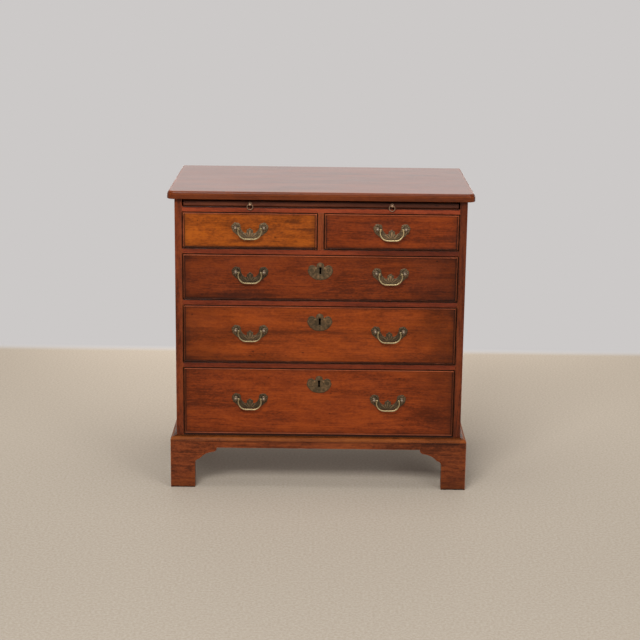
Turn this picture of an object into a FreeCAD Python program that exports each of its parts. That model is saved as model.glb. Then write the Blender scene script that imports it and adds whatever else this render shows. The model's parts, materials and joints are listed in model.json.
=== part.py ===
import FreeCAD, Part
import math
import os
from collections import namedtuple
from FreeCAD import Vector

# A George III style bachelor's chest: a brushing slide and two short drawers over three
# graduated long drawers, on a plinth with bracket feet.  Millimetres, +Z up, X across the
# front, the drawer fronts facing -Y.  The origin is on the floor under the middle of the
# whole chest, handles included.

# ---------------------------------------------------------------- driving dimensions

# Case
CASE_WIDTH = 781.0            # over the outsides of the two side boards
CASE_DEPTH = 467.0            # front edge of the sides to the back of the planks
SIDE_THICKNESS = 20.0
RAIL_THICKNESS = 14.0
RAIL_DEPTH = 60.0             # front to back
DUST_BOARD_THICKNESS = 10.0
HOUSING_DEPTH = 6.0           # how far rails and dust boards enter the sides
HOUSING_STOP = 10.0           # wood left in front of the housings
BOTTOM_THICKNESS = 14.0
BACK_THICKNESS = 10.0
BACK_REBATE = 9.0             # how far the back planks lap into the sides
BACK_PLANKS = 4
PLANK_GAP = 0.6
DIVIDER_THICKNESS = 17.5

# Openings in the front, from the floor up
LOWER_OPENING = 189.5
MIDDLE_OPENING = 161.0
UPPER_OPENING = 127.0
SHORT_OPENING = 99.5
SLIDE_OPENING = 21.5

# Top
TOP_THICKNESS = 21.5
TOP_FRONT_OVERHANG = 16.0     # past the front of the case
TOP_SIDE_OVERHANG = 19.5      # past the outsides of the case
TOP_CORNER_RADIUS = 20.0      # rounding of the front corners in plan
TOP_OVOLO_RADIUS = 6.5
TOP_OVOLO_HEIGHT = 8.0        # depth of the moulded member that carries the ovolo
TOP_QUIRK = 1.5               # step between the ovolo member and the flat edge
TOP_LOWER_ROUND = 2.5

# Plinth and base moulding
PLINTH_HEIGHT = 136.0
PLINTH_PROUD = 16.0           # past the case at the front and the sides
PLINTH_THICKNESS = 22.0
APRON_HEIGHT = 21.0           # depth of the plinth between its feet
FOOT_WIDTH = 67.0
BRACKET_UPRIGHT = 68.0        # straight inner edge of a foot, from the floor
BRACKET_LOBE_RUN = 12.0       # first cusped arc: run along the board
BRACKET_LOBE_RISE = 14.5
BRACKET_COVE_RUN = 38.0       # second cusped arc, a flatter one
BRACKET_COVE_RISE = 20.0
BRACKET_COVE_DEPTH = 4.2      # how far it bows above its chord
BRACKET_TAIL_RUN = 10.0       # last arc, up to the apron
MOULDING_HEIGHT = 11.0
MOULDING_LIP = 2.0            # square edge under the moulding's round
MOULDING_TOP_WIDTH = 4.0
REAR_BRACKET_LENGTH = 90.0
REAR_BRACKET_THICKNESS = 18.0
REAR_BRACKET_TIP = 30.0       # height of a rear bracket's thin end
CORNER_BLOCK = 30.0
CORNER_BLOCK_LIFT = 3.0       # off the floor
GLUE_BLOCK_LENGTH = 90.0
GLUE_BLOCK_SIZE = 20.0
GLUE_BLOCK_COUNT = 3          # behind the front of the plinth

# Brushing slide
SLIDE_THICKNESS = 17.0
SLIDE_SIDE_GAP = 4.0
SLIDE_BACK_GAP = 15.0         # behind the slide, in front of the back planks
SLIDE_RECESS = 2.0            # front edge behind the front of the case
SLIDE_NOSE_RADIUS = 5.0

# Drawers
DRAWER_BACK_GAP = 17.0        # behind a drawer, in front of the back planks
FRONT_THICKNESS = 22.0
FRONT_SIDE_GAP = 1.6
FRONT_RISE_GAP = 1.6          # above and below a drawer front
RUNNING_GAP = 0.3             # under the drawer sides and the slide
LINING_THICKNESS = 9.5        # drawer sides and backs
LINING_TOP_GAP = 4.0          # drawer sides below the top of the opening
BACK_DROP = 6.0               # drawer back below the top of its sides
DRAWER_BOTTOM_THICKNESS = 7.0
DRAWER_BOTTOM_LIFT = 9.0      # above the lower edge of the drawer sides
GROOVE_DEPTH = 4.0
BEAD_WIDTH = 3.5
BEAD_PROUD = 2.5
BEAD_SEAT = 9.0               # how far a cockbead is let into the front
BEAD_ROUND = 0.45             # radius of a bead's edges, as a share of its width
TAIL_PITCH = 36.0             # dovetails, about this far apart
TAIL_LENGTH = 12.0
TAIL_SLOPE = 1.0 / 6.0
PIN_WIDTH = 9.0               # wood between two tails, at their roots
STOP_LENGTH = 30.0
STOP_DEPTH = 14.0
STOP_HEIGHT = 7.0
STOP_INSET = 60.0             # from the end of the drawer front

# Bail handles
POST_SPACING = 76.2
LONG_HANDLE_OFFSET = 189.0    # handle centre from the middle of the chest
SHORT_HANDLE_DROP = 41.0      # posts below the top of each opening
UPPER_HANDLE_DROP = 47.8
MIDDLE_HANDLE_DROP = 67.9
LOWER_HANDLE_DROP = 85.2
PLATE_THICKNESS = 1.6
POST_REACH = 11.4             # pivot in front of the backplate
POST_HEAD_RADIUS = 6.0
POST_STEM_RADIUS = 3.4
POST_COLLAR_RADIUS = 5.2
POST_COLLAR_HEIGHT = 1.2
POST_SCREW_RADIUS = 2.4
POST_HOLE_GAP = 0.25
NUT_SIZE = 9.0
NUT_THICKNESS = 3.0
BAIL_RADIUS = 2.2
BAIL_DROP = 29.6              # centre line, below the posts
BAIL_CORNER_RADIUS = 21.0
BAIL_SWELL = 0.9              # how far its arms bow out past its ends
BAIL_HEAD_GAP = 0.5           # between a bail's shoulder and the post head
BAIL_PIN_RADIUS = 1.7
BAIL_PIN_GAP = 0.1
BAIL_PIN_LENGTH = 4.5         # inside the post head

# Slide pulls
PULL_OFFSET = 189.0
PULL_ROSE_RADIUS = 5.0
PULL_ROSE_THICKNESS = 1.5
PULL_STEM_RADIUS = 2.4
PULL_REACH = 6.5              # eye in front of the slide
PULL_EYE_RADIUS = 3.2
PULL_EYE_THICKNESS = 2.5
PULL_KNOB_RADIUS = 4.25
RING_RADIUS = 7.5             # centre line
RING_WIRE_RADIUS = 1.25
RING_EYE_GAP = 0.3

# Escutcheons and locks
ESCUTCHEON_DROP = 43.4        # centre below the top of the opening
ESCUTCHEON_WIDTH = 69.0
ESCUTCHEON_THICKNESS = 1.5
KEYHOLE_RADIUS = 3.4
KEYHOLE_SLOT_WIDTH = 4.8
KEYHOLE_HEIGHT = 19.0
LOCK_WIDTH = 64.0
LOCK_HEIGHT = 60.0
LOCK_DEPTH = 11.0
LOCK_KEY_DEPTH = 7.0          # how far the keyway goes into the lock
BOLT_WIDTH = 20.0
BOLT_THICKNESS = 5.0
BOLT_LENGTH = 22.0
BOLT_THROW = 7.0
BOLT_GAP = 0.4
MORTISE_GAP = 1.0             # round the thrown bolt, in the rail

# ---------------------------------------------------------------- derived places

HANDLE_FRONT = PLATE_THICKNESS + POST_REACH + POST_HEAD_RADIUS
CHEST_REACH = max(HANDLE_FRONT, TOP_FRONT_OVERHANG, PLINTH_PROUD)
CASE_FRONT = CHEST_REACH - (CHEST_REACH + CASE_DEPTH) / 2
CASE_BACK = CASE_FRONT + CASE_DEPTH
HALF_CASE = CASE_WIDTH / 2
HALF_INSIDE = HALF_CASE - SIDE_THICKNESS
BACK_FACE = CASE_BACK - BACK_THICKNESS
DRAWER_END = BACK_FACE - DRAWER_BACK_GAP
SLIDE_END = BACK_FACE - SLIDE_BACK_GAP
DUST_FRONT = CASE_FRONT + RAIL_DEPTH
PLINTH_FRONT = CASE_FRONT - PLINTH_PROUD
HALF_PLINTH = HALF_CASE + PLINTH_PROUD
HALF_PLINTH_INSIDE = HALF_PLINTH - PLINTH_THICKNESS

BOTTOM_TOP = PLINTH_HEIGHT + BOTTOM_THICKNESS
LOWER_RAIL = BOTTOM_TOP + LOWER_OPENING
MIDDLE_FLOOR = LOWER_RAIL + RAIL_THICKNESS
MIDDLE_RAIL = MIDDLE_FLOOR + MIDDLE_OPENING
UPPER_FLOOR = MIDDLE_RAIL + RAIL_THICKNESS
SHORT_RAIL = UPPER_FLOOR + UPPER_OPENING
SHORT_FLOOR = SHORT_RAIL + RAIL_THICKNESS
SLIDE_RAIL = SHORT_FLOOR + SHORT_OPENING
SLIDE_FLOOR = SLIDE_RAIL + RAIL_THICKNESS
CASE_TOP = SLIDE_FLOOR + SLIDE_OPENING
RAIL_LEVELS = (LOWER_RAIL, MIDDLE_RAIL, SHORT_RAIL, SLIDE_RAIL)

# An opening in the front and the drawer that fills it: left, right, floor and ceiling of
# the opening, where its handles are, and whether it locks.
Drawer = namedtuple("Drawer", "name left right floor ceiling handle_xs handle_drop locks")

SHORT_CENTRE = (HALF_INSIDE + DIVIDER_THICKNESS / 2) / 2
LONG_HANDLES = (-LONG_HANDLE_OFFSET, LONG_HANDLE_OFFSET)
DRAWERS = (
    Drawer("short_left_drawer", -HALF_INSIDE, -DIVIDER_THICKNESS / 2, SHORT_FLOOR, SLIDE_RAIL,
           (-SHORT_CENTRE,), SHORT_HANDLE_DROP, False),
    Drawer("short_right_drawer", DIVIDER_THICKNESS / 2, HALF_INSIDE, SHORT_FLOOR, SLIDE_RAIL,
           (SHORT_CENTRE,), SHORT_HANDLE_DROP, False),
    Drawer("upper_drawer", -HALF_INSIDE, HALF_INSIDE, UPPER_FLOOR, SHORT_RAIL,
           LONG_HANDLES, UPPER_HANDLE_DROP, True),
    Drawer("middle_drawer", -HALF_INSIDE, HALF_INSIDE, MIDDLE_FLOOR, MIDDLE_RAIL,
           LONG_HANDLES, MIDDLE_HANDLE_DROP, True),
    Drawer("lower_drawer", -HALF_INSIDE, HALF_INSIDE, BOTTOM_TOP, LOWER_RAIL,
           LONG_HANDLES, LOWER_HANDLE_DROP, True),
)

LOCK_BACK = CASE_FRONT + FRONT_THICKNESS
LOCK_FRONT = LOCK_BACK - LOCK_DEPTH
BOLT_CENTRE_Y = (LOCK_FRONT + LOCK_BACK) / 2
PIVOT_Y = CASE_FRONT - PLATE_THICKNESS - POST_REACH
BAIL_HALF_SPAN = POST_SPACING / 2 - POST_HEAD_RADIUS - BAIL_HEAD_GAP - BAIL_RADIUS
EYE_Y = CASE_FRONT + SLIDE_RECESS - PULL_REACH
EYE_Z = SLIDE_FLOOR + RUNNING_GAP + SLIDE_THICKNESS / 2

ALONG_X = Vector(1, 0, 0)
ALONG_Y = Vector(0, 1, 0)
ALONG_Z = Vector(0, 0, 1)
ORIGIN = Vector(0, 0, 0)
HALF_RIGHT_ANGLE = math.sqrt(0.5)     # sine and cosine of 45 degrees
SAME_PLACE = 1e-4                     # places closer than this are taken as one


# ---------------------------------------------------------------- shape helpers

def box(x_range, y_range, z_range):
    """A block between two values along each axis."""
    size = [high - low for low, high in (x_range, y_range, z_range)]
    return Part.makeBox(*size, Vector(x_range[0], y_range[0], z_range[0]))


def outline(start, steps, place):
    """Edges from start through steps: one point is a line, two are an arc through the first."""
    edges = []
    here = place(*start)
    for step in steps:
        there = place(*step[-1])
        if len(step) == 1:
            edges.append(Part.makeLine(here, there))
        else:
            edges.append(Part.Arc(here, place(*step[0]), there).toShape())
        here = there
    return edges


def solid_from(edges, direction):
    """Extrude the face inside a closed run of edges."""
    return Part.Face(Part.Wire(Part.__sortEdges__(edges))).extrude(direction)


def polygon_prism(points, place, direction):
    """Extrude a straight-sided outline."""
    steps = [(point,) for point in points[1:] + points[:1]]
    return solid_from(outline(points[0], steps, place), direction)


def mirrored(shape):
    """The same shape on the other side of the chest."""
    return shape.mirror(ORIGIN, ALONG_X)


def in_elevation(y):
    """Place a (x, z) point on the upright plane at y."""
    return lambda x, z: Vector(x, y, z)


def in_side_view(x):
    """Place a (y, z) point on the upright plane at x."""
    return lambda y, z: Vector(x, y, z)


def in_plan(z):
    """Place a (x, y) point on the level plane at z."""
    return lambda x, y: Vector(x, y, z)


def rod(radius, length, start, direction):
    """A round bar from start along direction."""
    return Part.makeCylinder(radius, length, start, direction)


def corner_wedge(z_range):
    """Upright wedge outside the mitre of the right front corner, for cutting front pieces."""
    reach = PLINTH_PROUD + PLINTH_THICKNESS
    points = [(HALF_PLINTH, PLINTH_FRONT), (HALF_PLINTH, PLINTH_FRONT + reach),
              (HALF_PLINTH - reach, PLINTH_FRONT + reach)]
    return polygon_prism(points, in_plan(z_range[0]), ALONG_Z * (z_range[1] - z_range[0]))


def front_wedge(z_range):
    """Upright wedge on the other side of the same mitre, for cutting side pieces."""
    reach = PLINTH_PROUD + PLINTH_THICKNESS
    points = [(HALF_PLINTH, PLINTH_FRONT), (HALF_PLINTH - reach, PLINTH_FRONT),
              (HALF_PLINTH - reach, PLINTH_FRONT + reach)]
    return polygon_prism(points, in_plan(z_range[0]), ALONG_Z * (z_range[1] - z_range[0]))


# ---------------------------------------------------------------- case

def housed_board(y_end, z_range):
    """A board from the front of the case to y_end, its ends housed behind the front edges."""
    reach = HALF_INSIDE + HOUSING_DEPTH
    shown = box((-HALF_INSIDE, HALF_INSIDE), (CASE_FRONT, y_end), z_range)
    housed = box((-reach, reach), (CASE_FRONT + HOUSING_STOP, y_end), z_range)
    return shown.fuse(housed).removeSplitter()


def rails():
    """The four front rails, before their mortises are cut."""
    return [housed_board(DUST_FRONT, (level, level + RAIL_THICKNESS)) for level in RAIL_LEVELS]


def dust_boards():
    """Thin boards behind the rails, flush with their tops, that carry the drawers."""
    reach = HALF_INSIDE + HOUSING_DEPTH
    boards = []
    for level in RAIL_LEVELS:
        top = level + RAIL_THICKNESS
        boards.append(box((-reach, reach), (DUST_FRONT, BACK_FACE), (top - DUST_BOARD_THICKNESS, top)))
    return boards


def bottom_board():
    """The bottom of the case."""
    return housed_board(BACK_FACE, (PLINTH_HEIGHT, BOTTOM_TOP))


def bolt_mortise(drawer):
    """The space in the rail over a locking drawer that its thrown bolt enters."""
    half_width = BOLT_WIDTH / 2 + MORTISE_GAP
    half_depth = BOLT_THICKNESS / 2 + MORTISE_GAP
    depth = BOLT_THROW - FRONT_RISE_GAP + MORTISE_GAP
    return box((-half_width, half_width), (BOLT_CENTRE_Y - half_depth, BOLT_CENTRE_Y + half_depth),
               (drawer.ceiling, drawer.ceiling + depth))


def mortised_rails():
    """The rails with their bolt mortises cut."""
    mortises = [bolt_mortise(drawer) for drawer in DRAWERS if drawer.locks]
    return [rail.cut(mortises) for rail in rails()]


def side_board():
    """The right side: housings for the boards across the case and a rebate for the back."""
    side = box((HALF_INSIDE, HALF_CASE), (CASE_FRONT, CASE_BACK), (PLINTH_HEIGHT, CASE_TOP))
    rebate = box((HALF_INSIDE, HALF_INSIDE + BACK_REBATE), (BACK_FACE, CASE_BACK),
                 (PLINTH_HEIGHT, CASE_TOP))
    return side.cut(rails() + dust_boards() + [bottom_board(), rebate])


def back_planks():
    """Upright planks across the back, a shrinkage gap apart."""
    half_width = HALF_INSIDE + BACK_REBATE
    pitch = 2 * half_width / BACK_PLANKS
    planks = []
    for index in range(BACK_PLANKS):
        left = -half_width + index * pitch
        gap = PLANK_GAP if index < BACK_PLANKS - 1 else 0
        planks.append(box((left, left + pitch - gap), (BACK_FACE, CASE_BACK), (PLINTH_HEIGHT, CASE_TOP)))
    return planks


def divider():
    """The upright between the short drawers, with the partition behind it."""
    half_width = DIVIDER_THICKNESS / 2
    front = box((-half_width, half_width), (CASE_FRONT, DUST_FRONT), (SHORT_FLOOR, SLIDE_RAIL))
    ceiling = SLIDE_FLOOR - DUST_BOARD_THICKNESS
    partition = box((-half_width, half_width), (DUST_FRONT, BACK_FACE), (SHORT_FLOOR, ceiling))
    return front.fuse(partition).removeSplitter()


def drawer_stops():
    """Blocks on the boards behind each drawer front, which it meets when it is shut."""
    back = CASE_FRONT + FRONT_THICKNESS + RUNNING_GAP
    stops = []
    for drawer in DRAWERS:
        for start in (drawer.left + STOP_INSET, drawer.right - STOP_INSET - STOP_LENGTH):
            stops.append(box((start, start + STOP_LENGTH), (back, back + STOP_DEPTH),
                             (drawer.floor, drawer.floor + STOP_HEIGHT)))
    return stops


def top_outline(inset, z):
    """Plan of the top, its moulded edges set in by inset, with rounded front corners."""
    side = HALF_CASE + TOP_SIDE_OVERHANG - inset
    front = CASE_FRONT - TOP_FRONT_OVERHANG + inset
    radius = TOP_CORNER_RADIUS - inset
    near = radius * (1 - HALF_RIGHT_ANGLE)
    steps = [
        ((side, front + radius),),
        ((side - near, front + near), (side - radius, front)),
        ((radius - side, front),),
        ((near - side, front + near), (-side, front + radius)),
        ((-side, CASE_BACK),),
        ((side, CASE_BACK),),
    ]
    return outline((side, CASE_BACK), steps, in_plan(z))


def moulded_edges(board, z):
    """Edges of a top member at height z, except the straight one along the back."""
    found = []
    for edge in board.Edges:
        bounds = edge.BoundBox
        at_height = abs(bounds.ZMin - z) < SAME_PLACE and abs(bounds.ZMax - z) < SAME_PLACE
        if at_height and bounds.YMin < CASE_BACK - SAME_PLACE:
            found.append(edge)
    return found


def top_board():
    """The top: a flat edge under an ovolo, with a small step between them."""
    shoulder = CASE_TOP + TOP_THICKNESS - TOP_OVOLO_HEIGHT
    lower = solid_from(top_outline(0, CASE_TOP), ALONG_Z * (shoulder - CASE_TOP))
    lower = lower.makeFillet(TOP_LOWER_ROUND, moulded_edges(lower, CASE_TOP))
    upper = solid_from(top_outline(TOP_QUIRK, shoulder), ALONG_Z * TOP_OVOLO_HEIGHT)
    upper = upper.makeFillet(TOP_OVOLO_RADIUS, moulded_edges(upper, shoulder + TOP_OVOLO_HEIGHT))
    return lower.fuse(upper).removeSplitter()


# ---------------------------------------------------------------- plinth

def bracket_steps(foot_edge, direction):
    """One bracket's cut edge, from the floor up to the apron; direction is away from the foot."""
    lobe_x = foot_edge + direction * BRACKET_LOBE_RUN
    lobe_z = BRACKET_UPRIGHT + BRACKET_LOBE_RISE
    cove_x = lobe_x + direction * BRACKET_COVE_RUN
    cove_z = lobe_z + BRACKET_COVE_RISE
    tail_x = cove_x + direction * BRACKET_TAIL_RUN
    tail_z = PLINTH_HEIGHT - APRON_HEIGHT
    near = 1 - HALF_RIGHT_ANGLE
    lobe_middle = (foot_edge + direction * BRACKET_LOBE_RUN * near,
                   BRACKET_UPRIGHT + BRACKET_LOBE_RISE * HALF_RIGHT_ANGLE)
    bow = BRACKET_COVE_DEPTH / math.hypot(BRACKET_COVE_RUN, BRACKET_COVE_RISE)
    cove_middle = (lobe_x + direction * (BRACKET_COVE_RUN / 2 - BRACKET_COVE_RISE * bow),
                   lobe_z + BRACKET_COVE_RISE / 2 + BRACKET_COVE_RUN * bow)
    tail_middle = (cove_x + direction * BRACKET_TAIL_RUN * HALF_RIGHT_ANGLE,
                   cove_z + (tail_z - cove_z) * near)
    return [
        ((foot_edge, BRACKET_UPRIGHT),),
        (lobe_middle, (lobe_x, lobe_z)),
        (cove_middle, (cove_x, cove_z)),
        (tail_middle, (tail_x, tail_z)),
    ]


def reversed_steps(start, steps):
    """The same outline walked from its far end back to start."""
    points = [start] + [step[-1] for step in steps]
    back = []
    for index in range(len(steps) - 1, -1, -1):
        back.append(steps[index][:-1] + (points[index],))
    return back


def bracket_board(near_end, far_end, place, direction):
    """A plinth board on two bracket feet, from near_end to far_end, extruded by direction."""
    near_foot = (near_end + FOOT_WIDTH, 0)
    far_foot = (far_end - FOOT_WIDTH, 0)
    up = bracket_steps(near_foot[0], 1)
    down = bracket_steps(far_foot[0], -1)
    apron_end = down[-1][-1]
    steps = [(near_foot,)] + up + [(apron_end,)] + reversed_steps(far_foot, down)
    steps += [((far_end, 0),), ((far_end, PLINTH_HEIGHT),), ((near_end, PLINTH_HEIGHT),), ((near_end, 0),)]
    return solid_from(outline((near_end, 0), steps, place), direction)


def plinth_front():
    """Front of the plinth, mitred at both ends."""
    board = bracket_board(-HALF_PLINTH, HALF_PLINTH, in_elevation(PLINTH_FRONT),
                          ALONG_Y * PLINTH_THICKNESS)
    wedge = corner_wedge((0, PLINTH_HEIGHT))
    return board.cut([wedge, mirrored(wedge)])


def plinth_side():
    """Right side of the plinth, mitred at the front."""
    board = bracket_board(PLINTH_FRONT, CASE_BACK, in_side_view(HALF_PLINTH_INSIDE),
                          ALONG_X * PLINTH_THICKNESS)
    return board.cut(front_wedge((0, PLINTH_HEIGHT)))


def moulding_profile(case_face, outward, place):
    """Section of the base moulding: a quarter round over a square lip, against the case."""
    tip = case_face + outward * PLINTH_PROUD
    upper = case_face + outward * MOULDING_TOP_WIDTH
    base = PLINTH_HEIGHT
    lip = base + MOULDING_LIP
    top = base + MOULDING_HEIGHT
    shoulder = top - MOULDING_LIP
    middle = (upper + (tip - upper) * HALF_RIGHT_ANGLE, lip + (shoulder - lip) * HALF_RIGHT_ANGLE)
    steps = [((tip, base),), ((tip, lip),), (middle, (upper, shoulder)), ((upper, top),),
             ((case_face, top),), ((case_face, base),)]
    return outline((case_face, base), steps, place)


def base_moulding():
    """Three strips round the case, on top of the plinth, mitred at the front corners."""
    z_range = (PLINTH_HEIGHT, PLINTH_HEIGHT + MOULDING_HEIGHT)
    wedge = corner_wedge(z_range)
    front_profile = moulding_profile(CASE_FRONT, -1, in_side_view(-HALF_PLINTH))
    front = solid_from(front_profile, ALONG_X * (2 * HALF_PLINTH)).cut([wedge, mirrored(wedge)])
    side_profile = moulding_profile(HALF_CASE, 1, in_elevation(PLINTH_FRONT))
    side = solid_from(side_profile, ALONG_Y * (CASE_BACK - PLINTH_FRONT)).cut(front_wedge(z_range))
    return [front, side, mirrored(side)]


def rear_bracket():
    """Shaped board that closes the right back foot from behind."""
    outer = HALF_PLINTH_INSIDE
    inner = outer - REAR_BRACKET_LENGTH
    waist = outer - FOOT_WIDTH + PLINTH_THICKNESS
    tip = PLINTH_HEIGHT - REAR_BRACKET_TIP
    middle = (inner + (waist - inner) * HALF_RIGHT_ANGLE, BRACKET_UPRIGHT + (tip - BRACKET_UPRIGHT)
              * HALF_RIGHT_ANGLE)
    steps = [((waist, 0),), ((waist, BRACKET_UPRIGHT),), (middle, (inner, tip)),
             ((inner, PLINTH_HEIGHT),), ((outer, PLINTH_HEIGHT),), ((outer, 0),)]
    back = CASE_BACK - BACK_THICKNESS
    edges = outline((outer, 0), steps, in_elevation(back - REAR_BRACKET_THICKNESS))
    return solid_from(edges, ALONG_Y * REAR_BRACKET_THICKNESS)


def plinth_blocks():
    """Upright blocks in the four corners and glue blocks behind the front, under the case."""
    outer = HALF_PLINTH_INSIDE
    front = PLINTH_FRONT + PLINTH_THICKNESS
    rear = CASE_BACK - BACK_THICKNESS - REAR_BRACKET_THICKNESS
    heights = (CORNER_BLOCK_LIFT, PLINTH_HEIGHT)
    blocks = []
    for y_range in ((front, front + CORNER_BLOCK), (rear - CORNER_BLOCK, rear)):
        block = box((outer - CORNER_BLOCK, outer), y_range, heights)
        blocks += [block, mirrored(block)]
    clear = 2 * (outer - CORNER_BLOCK)
    pitch = clear / GLUE_BLOCK_COUNT
    for index in range(GLUE_BLOCK_COUNT):
        centre = -clear / 2 + (index + 0.5) * pitch
        blocks.append(box((centre - GLUE_BLOCK_LENGTH / 2, centre + GLUE_BLOCK_LENGTH / 2),
                          (front, front + GLUE_BLOCK_SIZE),
                          (PLINTH_HEIGHT - GLUE_BLOCK_SIZE, PLINTH_HEIGHT)))
    return blocks


# ---------------------------------------------------------------- brushing slide

def slide_board():
    """The slide, rounded along its front edge."""
    half_width = HALF_INSIDE - SLIDE_SIDE_GAP
    front = CASE_FRONT + SLIDE_RECESS
    low = SLIDE_FLOOR + RUNNING_GAP
    board = box((-half_width, half_width), (front, SLIDE_END), (low, low + SLIDE_THICKNESS))
    nose = [edge for edge in board.Edges
            if edge.BoundBox.YMax < front + SAME_PLACE and edge.BoundBox.XLength > half_width]
    return board.makeFillet(SLIDE_NOSE_RADIUS, nose)


def pull_knob(x):
    """Knob of a slide pull: rose, stem, flat eye for the ring, and round head."""
    face = CASE_FRONT + SLIDE_RECESS
    rose = rod(PULL_ROSE_RADIUS, PULL_ROSE_THICKNESS, Vector(x, face - PULL_ROSE_THICKNESS, EYE_Z), ALONG_Y)
    eye_hole_radius = RING_WIRE_RADIUS + RING_EYE_GAP
    stem_tip = EYE_Y + (eye_hole_radius + PULL_EYE_RADIUS) / 2
    stem = rod(PULL_STEM_RADIUS, face - stem_tip, Vector(x, stem_tip, EYE_Z), ALONG_Y)
    eye_start = Vector(x - PULL_EYE_THICKNESS / 2, EYE_Y, EYE_Z)
    eye = rod(PULL_EYE_RADIUS, PULL_EYE_THICKNESS, eye_start, ALONG_X)
    head = Part.makeSphere(PULL_KNOB_RADIUS, Vector(x, EYE_Y - eye_hole_radius - RING_EYE_GAP / 2
                                                    - PULL_KNOB_RADIUS, EYE_Z))
    hole = rod(eye_hole_radius, PULL_EYE_THICKNESS, eye_start, ALONG_X)
    return rose.fuse([stem, eye, head]).cut(hole).removeSplitter()


def pull_ring(x):
    """Loose ring that hangs from the eye of a slide pull."""
    return Part.makeTorus(RING_RADIUS, RING_WIRE_RADIUS, Vector(x, EYE_Y, EYE_Z - RING_RADIUS), ALONG_Y)


# ---------------------------------------------------------------- drawers

def front_span(drawer):
    """Left, right, bottom and top of a drawer front, inside its opening."""
    return (drawer.left + FRONT_SIDE_GAP, drawer.right - FRONT_SIDE_GAP,
            drawer.floor + FRONT_RISE_GAP, drawer.ceiling - FRONT_RISE_GAP)


def lining_heights(drawer):
    """Lower and upper edge of the drawer sides."""
    return drawer.floor + RUNNING_GAP, drawer.ceiling - LINING_TOP_GAP


def tails(drawer, x_range):
    """Dovetails at the front of a drawer side, which widen towards the drawer front."""
    low, high = lining_heights(drawer)
    low = max(low, drawer.floor + FRONT_RISE_GAP)
    count = max(2, round((high - low) / TAIL_PITCH))
    pitch = (high - low) / count
    root = CASE_FRONT + FRONT_THICKNESS
    tip = root - TAIL_LENGTH
    half_root = (pitch - PIN_WIDTH) / 2
    half_tip = half_root + TAIL_LENGTH * TAIL_SLOPE
    found = []
    for index in range(count):
        middle = low + (index + 0.5) * pitch
        points = [(root, middle - half_root), (root, middle + half_root),
                  (tip, middle + half_tip), (tip, middle - half_tip)]
        found.append(polygon_prism(points, in_side_view(x_range[0]), ALONG_X * (x_range[1] - x_range[0])))
    return found


def side_spans(drawer):
    """Where the two sides of a drawer lie across the chest."""
    left, right, _, _ = front_span(drawer)
    return (left, left + LINING_THICKNESS), (right - LINING_THICKNESS, right)


def drawer_bottom(drawer):
    """Bottom panel of a drawer, let into its sides and front."""
    left, right = side_spans(drawer)
    low = lining_heights(drawer)[0] + DRAWER_BOTTOM_LIFT
    front = CASE_FRONT + FRONT_THICKNESS - GROOVE_DEPTH
    return box((left[1] - GROOVE_DEPTH, right[0] + GROOVE_DEPTH), (front, DRAWER_END),
               (low, low + DRAWER_BOTTOM_THICKNESS))


def drawer_box(drawer):
    """Sides, back and bottom of a drawer."""
    low, high = lining_heights(drawer)
    bottom = drawer_bottom(drawer)
    pieces = [bottom]
    for span in side_spans(drawer):
        side = box(span, (CASE_FRONT + FRONT_THICKNESS, DRAWER_END), (low, high))
        pieces.append(side.fuse(tails(drawer, span)).cut(bottom).removeSplitter())
    left, right = side_spans(drawer)
    pieces.append(box((left[1], right[0]), (DRAWER_END - LINING_THICKNESS, DRAWER_END),
                      (low + DRAWER_BOTTOM_LIFT + DRAWER_BOTTOM_THICKNESS, high - BACK_DROP)))
    return pieces


def lock_block(drawer):
    """The space let into the back of a drawer front for its lock."""
    top = drawer.ceiling - FRONT_RISE_GAP
    return box((-LOCK_WIDTH / 2, LOCK_WIDTH / 2), (LOCK_FRONT, LOCK_BACK), (top - LOCK_HEIGHT, top))


def keyhole(drawer, y_range):
    """Round hole over a slot, between two depths."""
    middle = drawer.ceiling - ESCUTCHEON_DROP
    eye = middle + KEYHOLE_HEIGHT / 2 - KEYHOLE_RADIUS
    depth = y_range[1] - y_range[0]
    hole = rod(KEYHOLE_RADIUS, depth, Vector(0, y_range[0], eye), ALONG_Y)
    slot = box((-KEYHOLE_SLOT_WIDTH / 2, KEYHOLE_SLOT_WIDTH / 2), y_range,
               (middle - KEYHOLE_HEIGHT / 2, eye))
    return hole.fuse(slot).removeSplitter()


def post_places(drawer):
    """Where the handle posts of a drawer stand: x and z."""
    z = drawer.ceiling - drawer.handle_drop
    return [(x + side * POST_SPACING / 2, z) for x in drawer.handle_xs for side in (-1, 1)]


def post_holes(drawer, y_range):
    """Holes for the handle screws, between two depths."""
    radius = POST_SCREW_RADIUS + POST_HOLE_GAP
    return [rod(radius, y_range[1] - y_range[0], Vector(x, y_range[0], z), ALONG_Y)
            for x, z in post_places(drawer)]


def drawer_front(drawer):
    """Front board of a drawer, rebated round its face for the cockbeads."""
    left, right, low, high = front_span(drawer)
    seat = CASE_FRONT + BEAD_SEAT
    back = CASE_FRONT + FRONT_THICKNESS
    field = box((left + BEAD_WIDTH, right - BEAD_WIDTH), (CASE_FRONT, seat),
                (low + BEAD_WIDTH, high - BEAD_WIDTH))
    board = field.fuse(box((left, right), (seat, back), (low, high))).removeSplitter()
    cuts = post_holes(drawer, (CASE_FRONT, back)) + [drawer_bottom(drawer)]
    for span in side_spans(drawer):
        cuts += tails(drawer, span)
    if drawer.locks:
        cuts += [lock_block(drawer), keyhole(drawer, (CASE_FRONT, LOCK_FRONT))]
    return board.cut(cuts)


def bead(corners):
    """One mitred cockbead strip, rounded along the two long edges of its face."""
    face = CASE_FRONT - BEAD_PROUD
    strip = polygon_prism(corners, in_elevation(face), ALONG_Y * (BEAD_PROUD + BEAD_SEAT))
    long_edges = [edge for edge in strip.Edges
                  if edge.BoundBox.YMax < face + SAME_PLACE and edge.Length > 2 * BEAD_WIDTH]
    return strip.makeFillet(BEAD_ROUND * BEAD_WIDTH, long_edges)


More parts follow.
